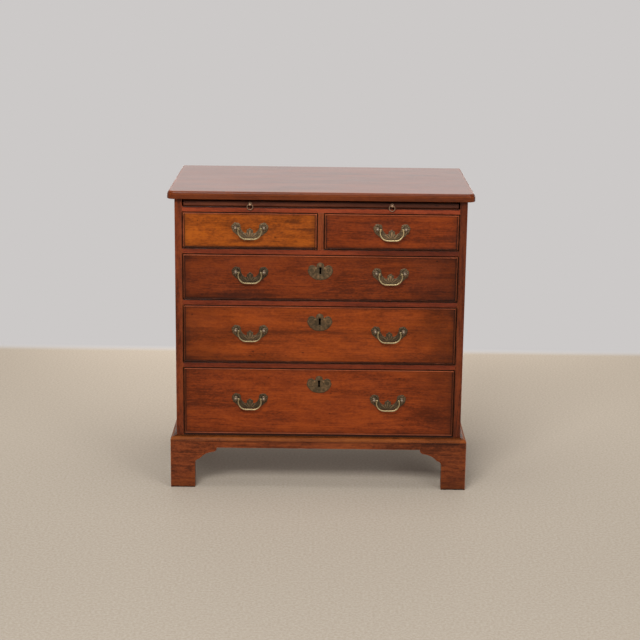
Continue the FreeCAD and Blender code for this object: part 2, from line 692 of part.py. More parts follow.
def cockbeads(drawer):
    """Four beads round a drawer front: top, bottom, left and right."""
    left, right, low, high = front_span(drawer)
    outer = [(left, low), (right, low), (right, high), (left, high)]
    inner = [(left + BEAD_WIDTH, low + BEAD_WIDTH), (right - BEAD_WIDTH, low + BEAD_WIDTH),
             (right - BEAD_WIDTH, high - BEAD_WIDTH), (left + BEAD_WIDTH, high - BEAD_WIDTH)]
    strips = []
    for index in range(len(outer)):
        after = (index + 1) % len(outer)
        strips.append(bead([outer[index], outer[after], inner[after], inner[index]]))
    return strips


# ---------------------------------------------------------------- brasses

def symmetric_plate(start, steps, unit, thickness):
    """A flat brass with both halves alike.  The outline of its right half is drawn from top
    to bottom, in units of a given length."""
    face = in_elevation(CASE_FRONT - thickness)
    half = outline(start, steps, lambda x, z: face(x * unit, z * unit))
    return solid_from(half + [mirrored(edge) for edge in half], ALONG_Y * thickness)


def handle_plate():
    """Willow backplate of a bail handle, about the height of its posts, in half post spacings:
    two lobes round the posts, joined by a crescent with a crest in the middle."""
    steps = [
        ((0.072, -0.085), (0.100, -0.150)),
        ((0.200, -0.172), (0.222, -0.280)),
        ((0.243, -0.372), (0.310, -0.415)),
        ((0.490, -0.290), (0.610, -0.110)),
        ((0.648, 0.000), (0.656, 0.110)),
        ((0.732, 0.268), (0.889, 0.313)),
        ((1.062, 0.336), (1.194, 0.220)),
        ((1.292, 0.095), (1.264, -0.084)),
        ((1.217, -0.244), (1.080, -0.380)),
        ((0.660, -0.672), (0.100, -0.790)),
        ((0.045, -0.803), (0.000, -0.850)),
    ]
    return symmetric_plate((0.0, -0.055), steps, POST_SPACING / 2, PLATE_THICKNESS)


def escutcheon_plate():
    """Willow escutcheon about its middle, in halves of its width: three lobes over a round
    lower edge."""
    steps = [
        ((0.215, 0.560), (0.300, 0.345)),
        ((0.352, 0.312), (0.412, 0.345)),
        ((0.715, 0.432), (0.930, 0.225)),
        ((0.918, 0.160), (0.975, 0.100)),
        ((0.985, -0.035), (0.945, -0.160)),
        ((0.620, -0.565), (0.090, -0.735)),
        ((0.038, -0.745), (0.000, -0.780)),
    ]
    return symmetric_plate((0.0, 0.647), steps, ESCUTCHEON_WIDTH / 2, ESCUTCHEON_THICKNESS)


def handle_plates(drawer):
    """Backplates of a drawer's handles, drilled for their posts."""
    z = drawer.ceiling - drawer.handle_drop
    holes = post_holes(drawer, (CASE_FRONT - PLATE_THICKNESS, CASE_FRONT))
    return [handle_plate().translated(Vector(x, 0, z)).cut(holes) for x in drawer.handle_xs]


def escutcheon(drawer):
    """Escutcheon of a locking drawer, pierced for the key."""
    plate = escutcheon_plate().translated(ALONG_Z * (drawer.ceiling - ESCUTCHEON_DROP))
    return plate.cut(keyhole(drawer, (CASE_FRONT - ESCUTCHEON_THICKNESS, CASE_FRONT)))


def post(x, z, toward_bail):
    """One handle post: screw, collar, stem and round head with a socket for the bail."""
    plate_face = CASE_FRONT - PLATE_THICKNESS
    nut_back = CASE_FRONT + FRONT_THICKNESS + NUT_THICKNESS
    screw = rod(POST_SCREW_RADIUS, nut_back - PIVOT_Y, Vector(x, PIVOT_Y, z), ALONG_Y)
    collar_start = Vector(x, plate_face - POST_COLLAR_HEIGHT, z)
    collar = rod(POST_COLLAR_RADIUS, POST_COLLAR_HEIGHT, collar_start, ALONG_Y)
    stem = rod(POST_STEM_RADIUS, plate_face - PIVOT_Y, Vector(x, PIVOT_Y, z), ALONG_Y)
    head = Part.makeSphere(POST_HEAD_RADIUS, Vector(x, PIVOT_Y, z))
    depth = BAIL_PIN_LENGTH + BAIL_HEAD_GAP
    mouth = Vector(x + toward_bail * POST_HEAD_RADIUS, PIVOT_Y, z)
    socket = rod(BAIL_PIN_RADIUS + BAIL_PIN_GAP, depth, mouth, ALONG_X * -toward_bail)
    return screw.fuse([collar, stem, head]).cut(socket).removeSplitter()


def nut(x, z):
    """Square nut on a handle screw, against the back of the drawer front."""
    back = CASE_FRONT + FRONT_THICKNESS
    block = box((x - NUT_SIZE / 2, x + NUT_SIZE / 2), (back, back + NUT_THICKNESS),
                (z - NUT_SIZE / 2, z + NUT_SIZE / 2))
    return block.cut(rod(POST_SCREW_RADIUS, NUT_THICKNESS, Vector(x, back, z), ALONG_Y))


def handle_posts(drawer):
    """Posts and nuts of a drawer's handles."""
    pieces = []
    for index, (x, z) in enumerate(post_places(drawer)):
        toward_bail = 1 if index % 2 == 0 else -1
        pieces += [post(x, z, toward_bail), nut(x, z)]
    return pieces


def bail(x, z):
    """Swinging bail of a handle: a round bar bent to a U whose arms bow out a little, with a
    pin into each post head."""
    fall = BAIL_DROP - BAIL_CORNER_RADIUS
    widest = BAIL_HALF_SPAN + BAIL_SWELL
    arm_radius = (BAIL_SWELL ** 2 + fall ** 2) / (2 * BAIL_SWELL)
    arm_centre = widest - arm_radius
    arm_middle = arm_centre + math.sqrt(arm_radius ** 2 - (fall / 2) ** 2)
    flat = widest - BAIL_CORNER_RADIUS
    bend = BAIL_CORNER_RADIUS * HALF_RIGHT_ANGLE
    steps = [
        ((arm_middle, -fall / 2), (widest, -fall)),
        ((flat + bend, -fall - bend), (flat, -BAIL_DROP)),
        ((-flat, -BAIL_DROP),),
        ((-flat - bend, -fall - bend), (-widest, -fall)),
        ((-arm_middle, -fall / 2), (-BAIL_HALF_SPAN, 0.0)),
    ]
    path = Part.Wire(outline((BAIL_HALF_SPAN, 0.0), steps, in_elevation(0)))
    along_arm = Vector(fall, 0, arm_centre - BAIL_HALF_SPAN)
    section = Part.Wire(Part.makeCircle(BAIL_RADIUS, Vector(BAIL_HALF_SPAN, 0, 0), along_arm))
    bar = path.makePipeShell([section], True, False)
    pieces = []
    for side in (-1, 1):
        end = Vector(side * BAIL_HALF_SPAN, 0, 0)
        pin_length = BAIL_RADIUS + BAIL_HEAD_GAP + BAIL_PIN_LENGTH
        pieces += [Part.makeSphere(BAIL_RADIUS, end), rod(BAIL_PIN_RADIUS, pin_length, end, ALONG_X * side)]
    return bar.fuse(pieces).removeSplitter().translated(Vector(x, PIVOT_Y, z))


# ---------------------------------------------------------------- locks

def bolt_block(drawer, gap):
    """A lock bolt at rest, its top level with the drawer front, grown by gap all round."""
    top = drawer.ceiling - FRONT_RISE_GAP
    half_width = BOLT_WIDTH / 2 + gap
    half_depth = BOLT_THICKNESS / 2 + gap
    return box((-half_width, half_width), (BOLT_CENTRE_Y - half_depth, BOLT_CENTRE_Y + half_depth),
               (top - BOLT_LENGTH - gap, top))


def lock_case(drawer):
    """Lock let into the drawer front, with its keyway and the slot that the bolt runs in."""
    keyway = keyhole(drawer, (LOCK_FRONT, LOCK_FRONT + LOCK_KEY_DEPTH))
    return lock_block(drawer).cut([keyway, bolt_block(drawer, BOLT_GAP)])


# ---------------------------------------------------------------- the nodes

def build_case():
    """Every fixed piece of the case."""
    side = side_board()
    foot_side = plinth_side()
    bracket = rear_bracket()
    return {
        "top_board": [top_board()],
        "side_left": [mirrored(side)],
        "side_right": [side],
        "back_planks": back_planks(),
        "bottom_board": [bottom_board()],
        "drawer_rails": mortised_rails(),
        "dust_boards": dust_boards(),
        "drawer_divider": [divider()],
        "drawer_stops": drawer_stops(),
        "plinth_front": [plinth_front()],
        "plinth_sides": [foot_side, mirrored(foot_side)],
        "base_moulding": base_moulding(),
        "plinth_blocks": plinth_blocks(),
        "rear_brackets": [bracket, mirrored(bracket)],
    }


def build_slide():
    """The brushing slide and its two ring pulls."""
    return {
        "slide_board": [slide_board()],
        "slide_knobs": [pull_knob(-PULL_OFFSET), pull_knob(PULL_OFFSET)],
        "slide_ring_left": [pull_ring(-PULL_OFFSET)],
        "slide_ring_right": [pull_ring(PULL_OFFSET)],
    }


def bail_names(drawer):
    """One name for each bail of a drawer."""
    if len(drawer.handle_xs) == 1:
        return [drawer.name + "_bail"]
    return [drawer.name + "_bail_left", drawer.name + "_bail_right"]


def build_drawer(drawer):
    """One drawer with its handles and, on a long drawer, its lock."""
    name = drawer.name
    nodes = {
        name + "_front": [drawer_front(drawer)],
        name + "_cockbeads": cockbeads(drawer),
        name + "_box": drawer_box(drawer),
        name + "_handle_plates": handle_plates(drawer),
        name + "_handle_posts": handle_posts(drawer),
    }
    for bail_name, x in zip(bail_names(drawer), drawer.handle_xs):
        nodes[bail_name] = [bail(x, drawer.ceiling - drawer.handle_drop)]
    if drawer.locks:
        nodes[name + "_escutcheon"] = [escutcheon(drawer)]
        nodes[name + "_lock"] = [lock_case(drawer)]
        nodes[name + "_lock_bolt"] = [bolt_block(drawer, 0)]
    return nodes


def write_parts(nodes):
    """Save each node as one STEP file named after it."""
    os.makedirs("parts", exist_ok=True)
    for name, pieces in nodes.items():
        shape = pieces[0] if len(pieces) == 1 else Part.makeCompound(pieces)
        shape.exportStep(os.path.join("parts", name + ".step"))


def main():
    nodes = build_case()
    nodes.update(build_slide())
    for drawer in DRAWERS:
        nodes.update(build_drawer(drawer))
    write_parts(nodes)


main()
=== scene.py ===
import json
import math
from collections import namedtuple
from functools import partialmethod

import bmesh
import bpy
import numpy as np
from mathutils import Matrix, Vector
from mathutils.geometry import delaunay_2d_cdt


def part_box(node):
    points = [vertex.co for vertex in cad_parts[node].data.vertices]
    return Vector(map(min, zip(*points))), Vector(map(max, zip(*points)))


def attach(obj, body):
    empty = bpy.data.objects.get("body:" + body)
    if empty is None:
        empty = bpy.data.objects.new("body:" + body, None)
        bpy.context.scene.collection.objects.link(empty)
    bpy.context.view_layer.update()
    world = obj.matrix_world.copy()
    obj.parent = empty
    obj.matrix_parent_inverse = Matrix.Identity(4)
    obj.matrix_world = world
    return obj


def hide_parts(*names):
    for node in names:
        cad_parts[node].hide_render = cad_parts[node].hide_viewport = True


# The looks of a bachelor's chest: figured mahogany with glazed drawer fronts, bare oak and pine
# inside and behind, and cast willow brasses.  Metres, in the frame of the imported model: X across
# the front, the drawer fronts facing -Y, +Z up.

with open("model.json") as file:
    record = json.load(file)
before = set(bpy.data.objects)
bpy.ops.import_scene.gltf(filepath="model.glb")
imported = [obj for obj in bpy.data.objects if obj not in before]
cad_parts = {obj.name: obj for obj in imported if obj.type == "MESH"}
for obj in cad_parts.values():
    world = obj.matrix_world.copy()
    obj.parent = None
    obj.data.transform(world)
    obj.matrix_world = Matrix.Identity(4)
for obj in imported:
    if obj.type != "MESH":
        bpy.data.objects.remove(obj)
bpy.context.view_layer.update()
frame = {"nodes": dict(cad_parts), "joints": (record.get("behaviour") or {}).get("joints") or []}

MM = 0.001
SAME_POINT = 0.002 * MM       # corners closer together than this are one
ENDLESS = 200.0               # further than anything here reaches, in metres

# ---- places taken from the frame

NODES = frame["nodes"]
LONG_DRAWERS = ("upper_drawer", "middle_drawer", "lower_drawer")
LOWEST = "lower_drawer"
DRAWERS = ("short_left_drawer", "short_right_drawer") + LONG_DRAWERS

CASE_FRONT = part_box("side_left")[0][1]
HALF_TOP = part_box("top_board")[1][0]
PLINTH_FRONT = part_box("plinth_front")[0][1]
HALF_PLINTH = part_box("plinth_front")[1][0]
PLINTH_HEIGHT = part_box("plinth_front")[1][2]
MOULDING_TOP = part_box("base_moulding")[1][2]

KEYHOLE_DROP = 41.8 * MM      # below the top edge of a drawer front
LINING = 10.0 * MM            # reaches just past the sides of a drawer's box
PALE_RAILS = (0.70, 0.76)     # heights over which the rails turn paler
DARK_RAILS = (0.33, 0.66)     # heights below which they are darker, and above which they aren't
SIDE_SMOKE = (0.35, 0.55)     # heights over which the smoke on the right side thickens
SWING = {joint["child"]: joint["pos_m"] for joint in frame["joints"] if "pos_m" in joint}
BAILS = [body for body in SWING if "_bail" in body]


def middle_of(node, axis):
    low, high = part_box(node)
    return (low[axis] + high[axis]) / 2


def drawer_of(body):
    """The drawer that a body named after it belongs to."""
    return next(drawer for drawer in DRAWERS if body.startswith(drawer))


# ---- node graphs

class Graph:
    """Adds nodes to one node tree.  Inputs may be sockets or plain values."""

    def __init__(self, tree):
        self.tree = tree
        tree.nodes.clear()

    def node(self, kind, inputs=None, **settings):
        made = self.tree.nodes.new("ShaderNode" + kind)
        for name, value in settings.items():
            setattr(made, name, value)
        for key, value in (inputs or {}).items():
            if isinstance(value, bpy.types.NodeSocket):
                self.tree.links.new(value, made.inputs[key])
            else:
                made.inputs[key].default_value = value
        return made

    def math(self, operation, *values):
        """A function of one value, or of two; of more, each is joined to the result so far."""
        if len(values) > 2:
            values = (self.math(operation, *values[:-1]), values[-1])
        return self.node("Math", dict(enumerate(values)), operation=operation).outputs[0]

    add = partialmethod(math, "ADD")
    minus = partialmethod(math, "SUBTRACT")
    times = partialmethod(math, "MULTIPLY")
    absolute = partialmethod(math, "ABSOLUTE")
    larger = partialmethod(math, "MAXIMUM")

    def hypotenuse(self, *sides):
        return self.math("SQRT", self.add(*(self.math("POWER", side, 2.0) for side in sides)))

    def about_zero(self, noise, share):
        """Noise moved to lie about zero, times a share."""
        return self.times(self.minus(noise, 0.5), share)

    def dimmed(self, mask, share):
        """What a colour is multiplied by, to lose a share of itself where the mask is 1."""
        return self.minus(1.0, self.times(mask, share))

    def remap(self, value, low, high, to_low=0.0, to_high=1.0):
        """A smooth step from to_low at low to to_high at high."""
        inputs = {"Value": value, "From Min": low, "From Max": high, "To Min": to_low,
                  "To Max": to_high}
        return self.node("MapRange", inputs, interpolation_type="SMOOTHSTEP").outputs["Result"]

    def shade_near(self, distance, near, far, share):
        """What a colour is multiplied by: a share up to near millimetres away, 1 from far on."""
        return self.remap(distance, near * MM, far * MM, share, 1.0)

    def vector_math(self, operation, *values):
        return self.node("VectorMath", dict(enumerate(values)), operation=operation).outputs[0]

    def length(self, vector):
        return self.node("VectorMath", {0: vector}, operation="LENGTH").outputs["Value"]

    def scale(self, vector, factor):
        """A vector or colour times a number."""
        inputs = {"Vector": vector, "Scale": factor}
        return self.node("VectorMath", inputs, operation="SCALE").outputs[0]

    def mix(self, factor, first, second):
        """Blend of two colours."""
        return self.node("Mix", {0: factor, 6: first, 7: second}, data_type="RGBA").outputs[2]

    def mix_vectors(self, factor, first, second):
        return self.node("Mix", {0: factor, 4: first, 5: second}, data_type="VECTOR").outputs[1]

    def noise(self, vector, stretch, detail, roughness=0.5):
        """Noise of a vector whose axes are first multiplied by stretch, in cycles per metre."""
        stretched = self.vector_math("MULTIPLY", vector, stretch)
        inputs = {"Vector": stretched, "Scale": 1.0, "Detail": detail, "Roughness": roughness}
        return self.node("TexNoise", inputs).outputs[0]

    def split(self, vector):
        return self.node("SeparateXYZ", {0: vector}).outputs

    def join(self, x, y, z):
        return self.node("CombineXYZ", {0: x, 1: y, 2: z}).outputs[0]

    def object_place(self):
        """Place on the piece at rest, in metres."""
        return self.node("TexCoord").outputs["Object"]

    def object_normal(self):
        return self.node("TexCoord").outputs["Normal"]

    def bump(self, height, depth):
        """Normals of a relief this many metres deep."""
        return self.node("Bump", {"Height": height, "Strength": 1.0, "Distance": depth}).outputs[0]

    def end(self, inputs):
        """Ends a material's graph in one surface shader."""
        surface = self.node("BsdfPrincipled", inputs)
        self.node("OutputMaterial", {0: surface.outputs[0]})


def new_material(name):
    """A material with an empty graph."""
    material = bpy.data.materials.new(name)
    material.use_nodes = True
    return material, Graph(material.node_tree)


def paint(red, green, blue):
    """Linear colour of an 8-bit screen colour."""
    return tuple(((c / 255 + 0.055) / 1.055) ** 2.4 for c in (red, green, blue)) + (1.0,)


def arris_mask(g):
    """1 on an arris, 0 on flat wood, from how far a rounded normal turns away."""
    rounded = g.node("Bevel", {"Radius": ARRIS_REACH}, samples=4).outputs[0]
    sharp = g.node("NewGeometry").outputs["Normal"]
    alike = g.node("VectorMath", {0: rounded, 1: sharp}, operation="DOT_PRODUCT").outputs["Value"]
    return g.remap(alike, 0.995, 0.90)


# ---- wood

ARRIS_REACH = 1.6 * MM        # how far from an arris the lighter colour reaches
PORE_DEPTH = 0.06 * MM
RINGS_PER_METRE = 150.0
RING_WANDER = 60.0 * MM       # how far the rings bend in and out
RING_DRIFT = 50.0 * MM        # how far the heart of the tree strays along a board

# Which axes of the chest a board's length, width and thickness lie along.
Lay = namedtuple("Lay", "along across through")
FLAT = Lay(0, 1, 2)          # top, slide, bottoms, dust boards
FRONT = Lay(0, 2, 1)         # rails, drawer fronts
UPRIGHT = Lay(2, 1, 0)       # sides of the case
POST = Lay(2, 0, 1)          # dividers, upright beads, back planks
RUNNER = Lay(1, 2, 0)        # drawer sides, sides of the plinth


def laid(g, vector, lay):
    """A vector of the chest's axes as (along, across, through) the board."""
    parts = g.split(vector)
    return g.join(parts[lay.along], parts[lay.across], parts[lay.through])


def in_board(g, lay, turned=None):
    """Place and normal in the board's own axes.  turned is (mask, lay) for pieces whose grain
    runs another way where the mask is 1."""
    place = g.object_place()
    normal = g.object_normal()
    board_place = laid(g, place, lay)
    board_normal = laid(g, normal, lay)
    if turned:
        mask, other = turned
        board_place = g.mix_vectors(mask(g, place), board_place, laid(g, place, other))
        board_normal = g.mix_vectors(mask(g, place), board_normal, laid(g, normal, other))
    return board_place, board_normal


# How one timber looks.  dark, base and light are its tones; the rest are shares from 0 to 1.
Timber = namedtuple("Timber", "dark base light figure ribbon streaks pores")


def figured(g, board, timber, pith):
    """Colour and relief of a sawn board.  pith is how far the heart of the tree lies off the
    board's own axes, across and through it, in metres."""
    wander = g.noise(board, (1.3, 3.0, 3.0), 2.0)
    bend = g.vector_math("SUBTRACT", g.join(wander, wander, wander), (0.5, 0.5, 0.5))
    bent = g.split(g.vector_math("ADD", board, g.scale(bend, RING_WANDER)))
    drift = g.noise(board, (1.1, 0.0, 0.0), 1.0)
    across = g.minus(bent[1], pith[0])
    through = g.add(g.minus(bent[2], pith[1]), g.times(drift, RING_DRIFT))
    radius = g.hypotenuse(across, through)
    rings = g.node("TexNoise", {"W": g.times(radius, RINGS_PER_METRE), "Detail": 2.0},
                   noise_dimensions="1D").outputs[0]
    fibre = g.noise(board, (7.0, 420.0, 420.0), 3.0, 0.6)
    fleck = g.noise(board, (26.0, 105.0, 105.0), 3.0, 0.6)
    ribbon = g.noise(board, (0.9, 46.0, 46.0), 2.0)
    cloud = g.noise(board, (4.5, 16.0, 16.0), 3.0, 0.6)
    grit = g.noise(board, (130.0, 260.0, 260.0), 2.0, 0.6)

    tone = 0.5
    for value, share in ((rings, 1.6 * timber.figure), (fibre, 0.9), (fleck, 1.2),
                         (ribbon, 1.5 * timber.ribbon), (cloud, 1.9), (grit, 1.0)):
        tone = g.add(tone, g.about_zero(value, share))
    ramp = g.node("ValToRGB", {0: tone})
    ramp.color_ramp.elements[0].position = 0.1
    ramp.color_ramp.elements[0].color = timber.dark
    ramp.color_ramp.elements[1].position = 0.9
    ramp.color_ramp.elements[1].color = timber.light
    ramp.color_ramp.elements.new(0.5).color = timber.base

    # Dark streaks along the board, open pores, and the odd small knock.
    smoke = g.noise(board, (1.7, 26.0, 26.0), 4.0, 0.6)
    color = g.scale(ramp.outputs[0], g.remap(smoke, 0.54, 0.72, 1.0, 1.0 - timber.streaks))
    pore = g.remap(g.noise(board, (75.0, 1500.0, 1500.0), 1.0), 0.60, 0.72)
    color = g.scale(color, g.dimmed(pore, timber.pores))
    knocks = g.noise(board, (60.0, 110.0, 110.0), 1.0)
    color = g.scale(color, g.remap(knocks, 0.755, 0.80, 1.0, 0.4))
    return color, g.minus(g.times(fibre, 0.35), pore)


def polished_above(g):
    """1 on faces that look up, where hands and dusters keep the polish, 0 on upright ones."""
    return g.remap(g.split(g.object_normal())[2], 0.92, 0.995)


def timber_material(name, timber, lay, pith, coat=None, specular=0.3, matt=0.5, uneven=0.08,
                    turned=None, shade=None, wear_and_highlight=None):
    """Material of a board.  shade(g, place) gives what its colour is multiplied by, and coat(g)
    the weight of its polish.  uneven is how far the roughness strays from matt, and
    wear_and_highlight is the share and the colour on its arrises: worn wood, and a painted
    highlight along them."""
    material, g = new_material(name)
    board, normal = in_board(g, lay, turned)
    color, relief = figured(g, board, timber, pith)
    end_grain = g.remap(g.absolute(g.split(normal)[0]), 0.6, 0.95)
    color = g.scale(color, g.dimmed(end_grain, 0.45))
    if shade:
        color = g.scale(color, shade(g, g.object_place()))
    # Arrises take a lighter colour: worn wood, and a painted highlight along them.
    if wear_and_highlight:
        color = g.mix(g.times(arris_mask(g), wear_and_highlight[0]), color, wear_and_highlight[1])
    rubbed = g.noise(board, (9.0, 14.0, 14.0), 3.0)
    g.end({"Base Color": color, "Normal": g.bump(relief, PORE_DEPTH),
           "Roughness": g.remap(rubbed, 0.3, 0.7, matt - uneven, matt + uneven),
           "Specular IOR Level": specular,
           "Coat Weight": coat(g) if coat else 0.0, "Coat Roughness": 0.16})
    return material


# ---- timbers

def tones(red, green, blue, contrast=1.0):
    """Dark, base and light tones of a timber, from the screen colour of its middle tone."""
    base = paint(red, green, blue)
    dark = tuple(c * (1 - 0.42 * contrast) for c in base[:3]) + (1.0,)
    light = (base[0] * (1 + 0.32 * contrast), base[1] * (1 + 0.42 * contrast),
             base[2] * (1 + 0.30 * contrast), 1.0)
    return dark, base, light


def mahogany(red, green, blue, contrast=1.0, figure=0.5, ribbon=0.5, streaks=0.35, pores=0.35):
    return Timber(*tones(red, green, blue, contrast), figure, ribbon, streaks, pores)


OAK = Timber(*tones(168, 130, 82), 0.5, 0.4, 0.15, 0.45)
PINE = Timber(*tones(152, 116, 78, 0.8), 0.8, 0.2, 0.15, 0.1)
ARRIS = paint(172, 92, 44)    # worn mahogany, also a painted highlight along the arrises


def moulding_side(g, place):
    """1 on the side strips of the base moulding, behind the mitres."""
    x, y, _ = g.split(place)
    return g.math("LESS_THAN", g.minus(HALF_PLINTH, g.absolute(x)), g.minus(y, PLINTH_FRONT))


def ragged(g, place, scale, depth):
    """Noise about zero, for wandering edges."""
    return g.about_zero(g.noise(place, (scale, scale, scale), 3.0), depth)


def front_glaze_and_shade(drawer, ends):
    """Glaze and painted shade on a drawer front: a painted shadow in a line beside each bead, a
    softer glazed border, painted shadow under the bails, painted shade in the wood behind the
    keyhole, and smoky glazed ends.  ends is what the colour at the left and the right end is
    multiplied by."""
    low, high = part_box(drawer + "_front")

    def shade(g, place):
        x, _, z = g.split(place)
        wander = ragged(g, place, 22.0, 34.0 * MM)
        drift = ragged(g, place, 14.0, 200.0 * MM)
        to_top = g.minus(high[2], z)
        to_bottom = g.minus(z, low[2])
        # Painted shadow beside the top and the bottom bead, then glaze in a softer border along them.
        parts = [
            g.shade_near(to_top, 3.5, 6.5, 0.55),
            g.shade_near(to_bottom, 3.5, 7.5, 0.7 if drawer == LOWEST else 0.30),
            g.shade_near(g.add(to_top, wander), 0.0, 20.0, 0.86),
            g.shade_near(g.add(to_bottom, wander), 0.0, 26.0, 0.78),
        ]
        for to_side, end in ((g.minus(x, low[0]), ends[0]), (g.minus(high[0], x), ends[1])):
            # Painted shadow beside the upright bead, a softer glazed border, and a smoky glazed end.
            parts.append(g.shade_near(to_side, 4.0, 8.0, 0.30))
            parts.append(g.shade_near(g.add(to_side, wander), 4.0, 20.0, 0.72))
            parts.append(g.shade_near(g.add(to_side, drift), 10.0, 170.0, end))
        # Painted shadow under each bail.
        parts += [painted_bail_shadow(g, x, z, SWING[bail]) for bail in BAILS if drawer_of(bail) == drawer]
        # Painted shade in the wood behind the keyhole.
        if drawer in LONG_DRAWERS:
            beside = g.minus(x, middle_of(drawer + "_front", 0))
            away = g.length(g.join(beside, 0.0, g.minus(z, high[2] - KEYHOLE_DROP)))
            parts.append(g.shade_near(away, 10.5, 11.0, 0.06))
        return g.times(*parts)

    return shade


def painted_bail_shadow(g, x, z, pivot):
    """A painted shadow: a dark crescent on the wood just below a bail."""
    middle = pivot[2] - 10.0 * MM
    across = g.math("DIVIDE", g.minus(x, pivot[0]), 34.0 * MM)
    below = g.math("DIVIDE", g.minus(z, middle), 24.0 * MM)
    off_ring = g.absolute(g.minus(g.hypotenuse(across, below), 0.98))
    ring = g.minus(1.0, g.remap(off_ring, 0.02, 0.28))
    return g.dimmed(ring, g.remap(below, -0.1, -0.75, 0.0, 0.5))


def outside_of(g, place, node):
    """How far outside a node's outline a point is, seen from the front.  The outline's top is
    taken lower, because the painted shade runs over the upper edge."""
    low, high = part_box(node)
    high = (high[0], high[1], high[2] - 1.4 * MM)
    centre = [(a + b) / 2 for a, b in zip(low, high)]
    half = [(b - a) / 2 for a, b in zip(low, high)]
    half[1] = ENDLESS
    away = g.vector_math("ABSOLUTE", g.vector_math("SUBTRACT", place, centre))
    return g.length(g.vector_math("MAXIMUM", g.vector_math("SUBTRACT", away, half), (0, 0, 0)))


def painted_gap_shade(g, place):
    """Painted shade along the front edges of the openings, where the gaps fall dark."""
    nearest = 1.0
    for node in [drawer + "_cockbeads" for drawer in DRAWERS] + ["slide_board"]:
        nearest = g.math("MINIMUM", nearest, outside_of(g, place, node))
    edge = g.shade_near(g.add(nearest, ragged(g, place, 60.0, 3.0 * MM)), 1.8, 4.2, 0.12)
    return g.larger(edge, g.remap(g.split(place)[1], CASE_FRONT + 8.0 * MM, CASE_FRONT + 30.0 * MM))


def bead_shade_and_highlight(drawer, uprights):
    """Painted shade on the outer flanks of a drawer's beads and along the top one's upper edge,
    and a painted highlight along the top one.  uprights is what the colour of the upright ones
    is multiplied by.  The bottom one is darkened by painted shade except on the lowest drawer."""
    low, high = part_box(drawer + "_cockbeads")
    centre = middle_of(drawer + "_cockbeads", 0)

    def shade(g, place):
        x, _, z = g.split(place)
        to_side = g.minus(high[0] - centre, g.absolute(g.minus(x, centre)))
        to_bottom = g.minus(z, low[2])
        to_top = g.minus(high[2], z)
        wander = ragged(g, place, 60.0, 4.0 * MM)
        # Painted shade on the flanks, over the bottom bead and along the top bead's upper edge, and a
        # painted highlight along the top bead.
        return g.times(
            g.shade_near(g.add(to_side, wander), 0.6, 2.4, 0.25),
            g.shade_near(to_side, 3.4, 3.6, uprights),
            g.shade_near(g.add(to_bottom, wander), 3.2, 4.6, 0.9 if drawer == LOWEST else 0.10),
            g.shade_near(to_top, 0.8, 1.9, 0.12),
            g.shade_near(to_top, 3.4, 3.7, 1.8),
        )

    return shade


def rail_shade(g, place):
    """Rails paler at the top of the case and darker low down, with painted shade along the openings.
    """
    height = g.split(place)[2]
    paler = g.remap(height, *PALE_RAILS, 1.0, 1.32)
    darker = g.remap(height, *DARK_RAILS, 0.78, 1.0)
    return g.times(paler, darker, painted_gap_shade(g, place))


def side_shade(g, place):
    """Painted shade along the openings, and smoke over the front edge of the right side, which is
    thicker above."""
    x, y, z = g.split(place)
    smoke = g.remap(z, *SIDE_SMOKE, 0.16, 0.38)
    front_edge = g.remap(y, CASE_FRONT, CASE_FRONT + 4.0 * MM, 1.0, 0.0)
    share = g.times(g.remap(x, -0.1, 0.1), front_edge)
    return g.times(g.dimmed(share, smoke), painted_gap_shade(g, place))


def slide_shade(g, place):
    """The slide's front edge is darker to the right, and painted shadow darkens it under the top."""
    low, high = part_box("slide_board")
    x, y, z = g.split(place)
    # Painted shadow under the top's overhang.
    under = g.shade_near(g.minus(high[2], z), 0.0, 9.0, 0.35)
    edge = g.times(g.remap(x, -0.08, 0.22, 1.0, 0.66), under)
    return g.larger(edge, g.remap(y, low[1] + 1.0 * MM, low[1] + 5.0 * MM))


def top_shade(g, place):
    """Painted shade on the moulded edges round the top, which face away from up, and a painted
    highlight at its left and right ends.
    """
    edges = g.remap(g.split(g.object_normal())[2], 0.85, 1.0, 0.50, 1.0)
    x = g.absolute(g.split(place)[0])
    return g.times(edges, g.shade_near(g.minus(HALF_TOP, x), 1.0, 16.0, 1.5))


def moulding_shade_and_highlight(g, place):
    """Painted shade along the top of the base moulding, under the lowest drawer's gap, and a
    painted highlight that makes it paler to the right.
    """
    x, _, z = g.split(place)
    height = g.add(z, ragged(g, place, 60.0, 2.0 * MM))
    # Painted shade along the top of the moulding.
    lip_shade = g.shade_near(g.minus(MOULDING_TOP, height), 1.2, 3.0, 0.12)
    return g.times(lip_shade, g.remap(x, 0.12, 0.38, 1.0, 1.5))


def bottom_edge_shade(g, place):
    """Painted shade on the front edge of the bottom board, in the gap under the lowest drawer."""
    return g.shade_near(g.minus(g.split(place)[1], CASE_FRONT), 1.0, 6.0, 0.15)


def plinth_shading(g, place):
    """Darker wood near the floor and to the right, its bottom few millimetres much darker, and
    painted shade in the joint under the base moulding."""
    x, _, height = g.split(place)
    wander = g.times(g.noise(place, (20.0, 20.0, 8.0), 3.0), 30.0 * MM)
    smoke = g.shade_near(g.minus(height, wander), -12.0, 38.0, 0.6)
    contact = g.shade_near(g.add(height, ragged(g, place, 90.0, 4.0 * MM)), 2.4, 4.4, 0.10)
    darker = g.remap(x, 0.1, 0.3, 1.0, 0.8)
    # Painted shade under the lip of the base moulding.
    joint = g.add(height, ragged(g, place, 60.0, 3.0 * MM))
    joint = g.shade_near(g.minus(PLINTH_HEIGHT, joint), 4.0, 7.0, 0.55)
    return g.times(smoke, contact, darker, joint)


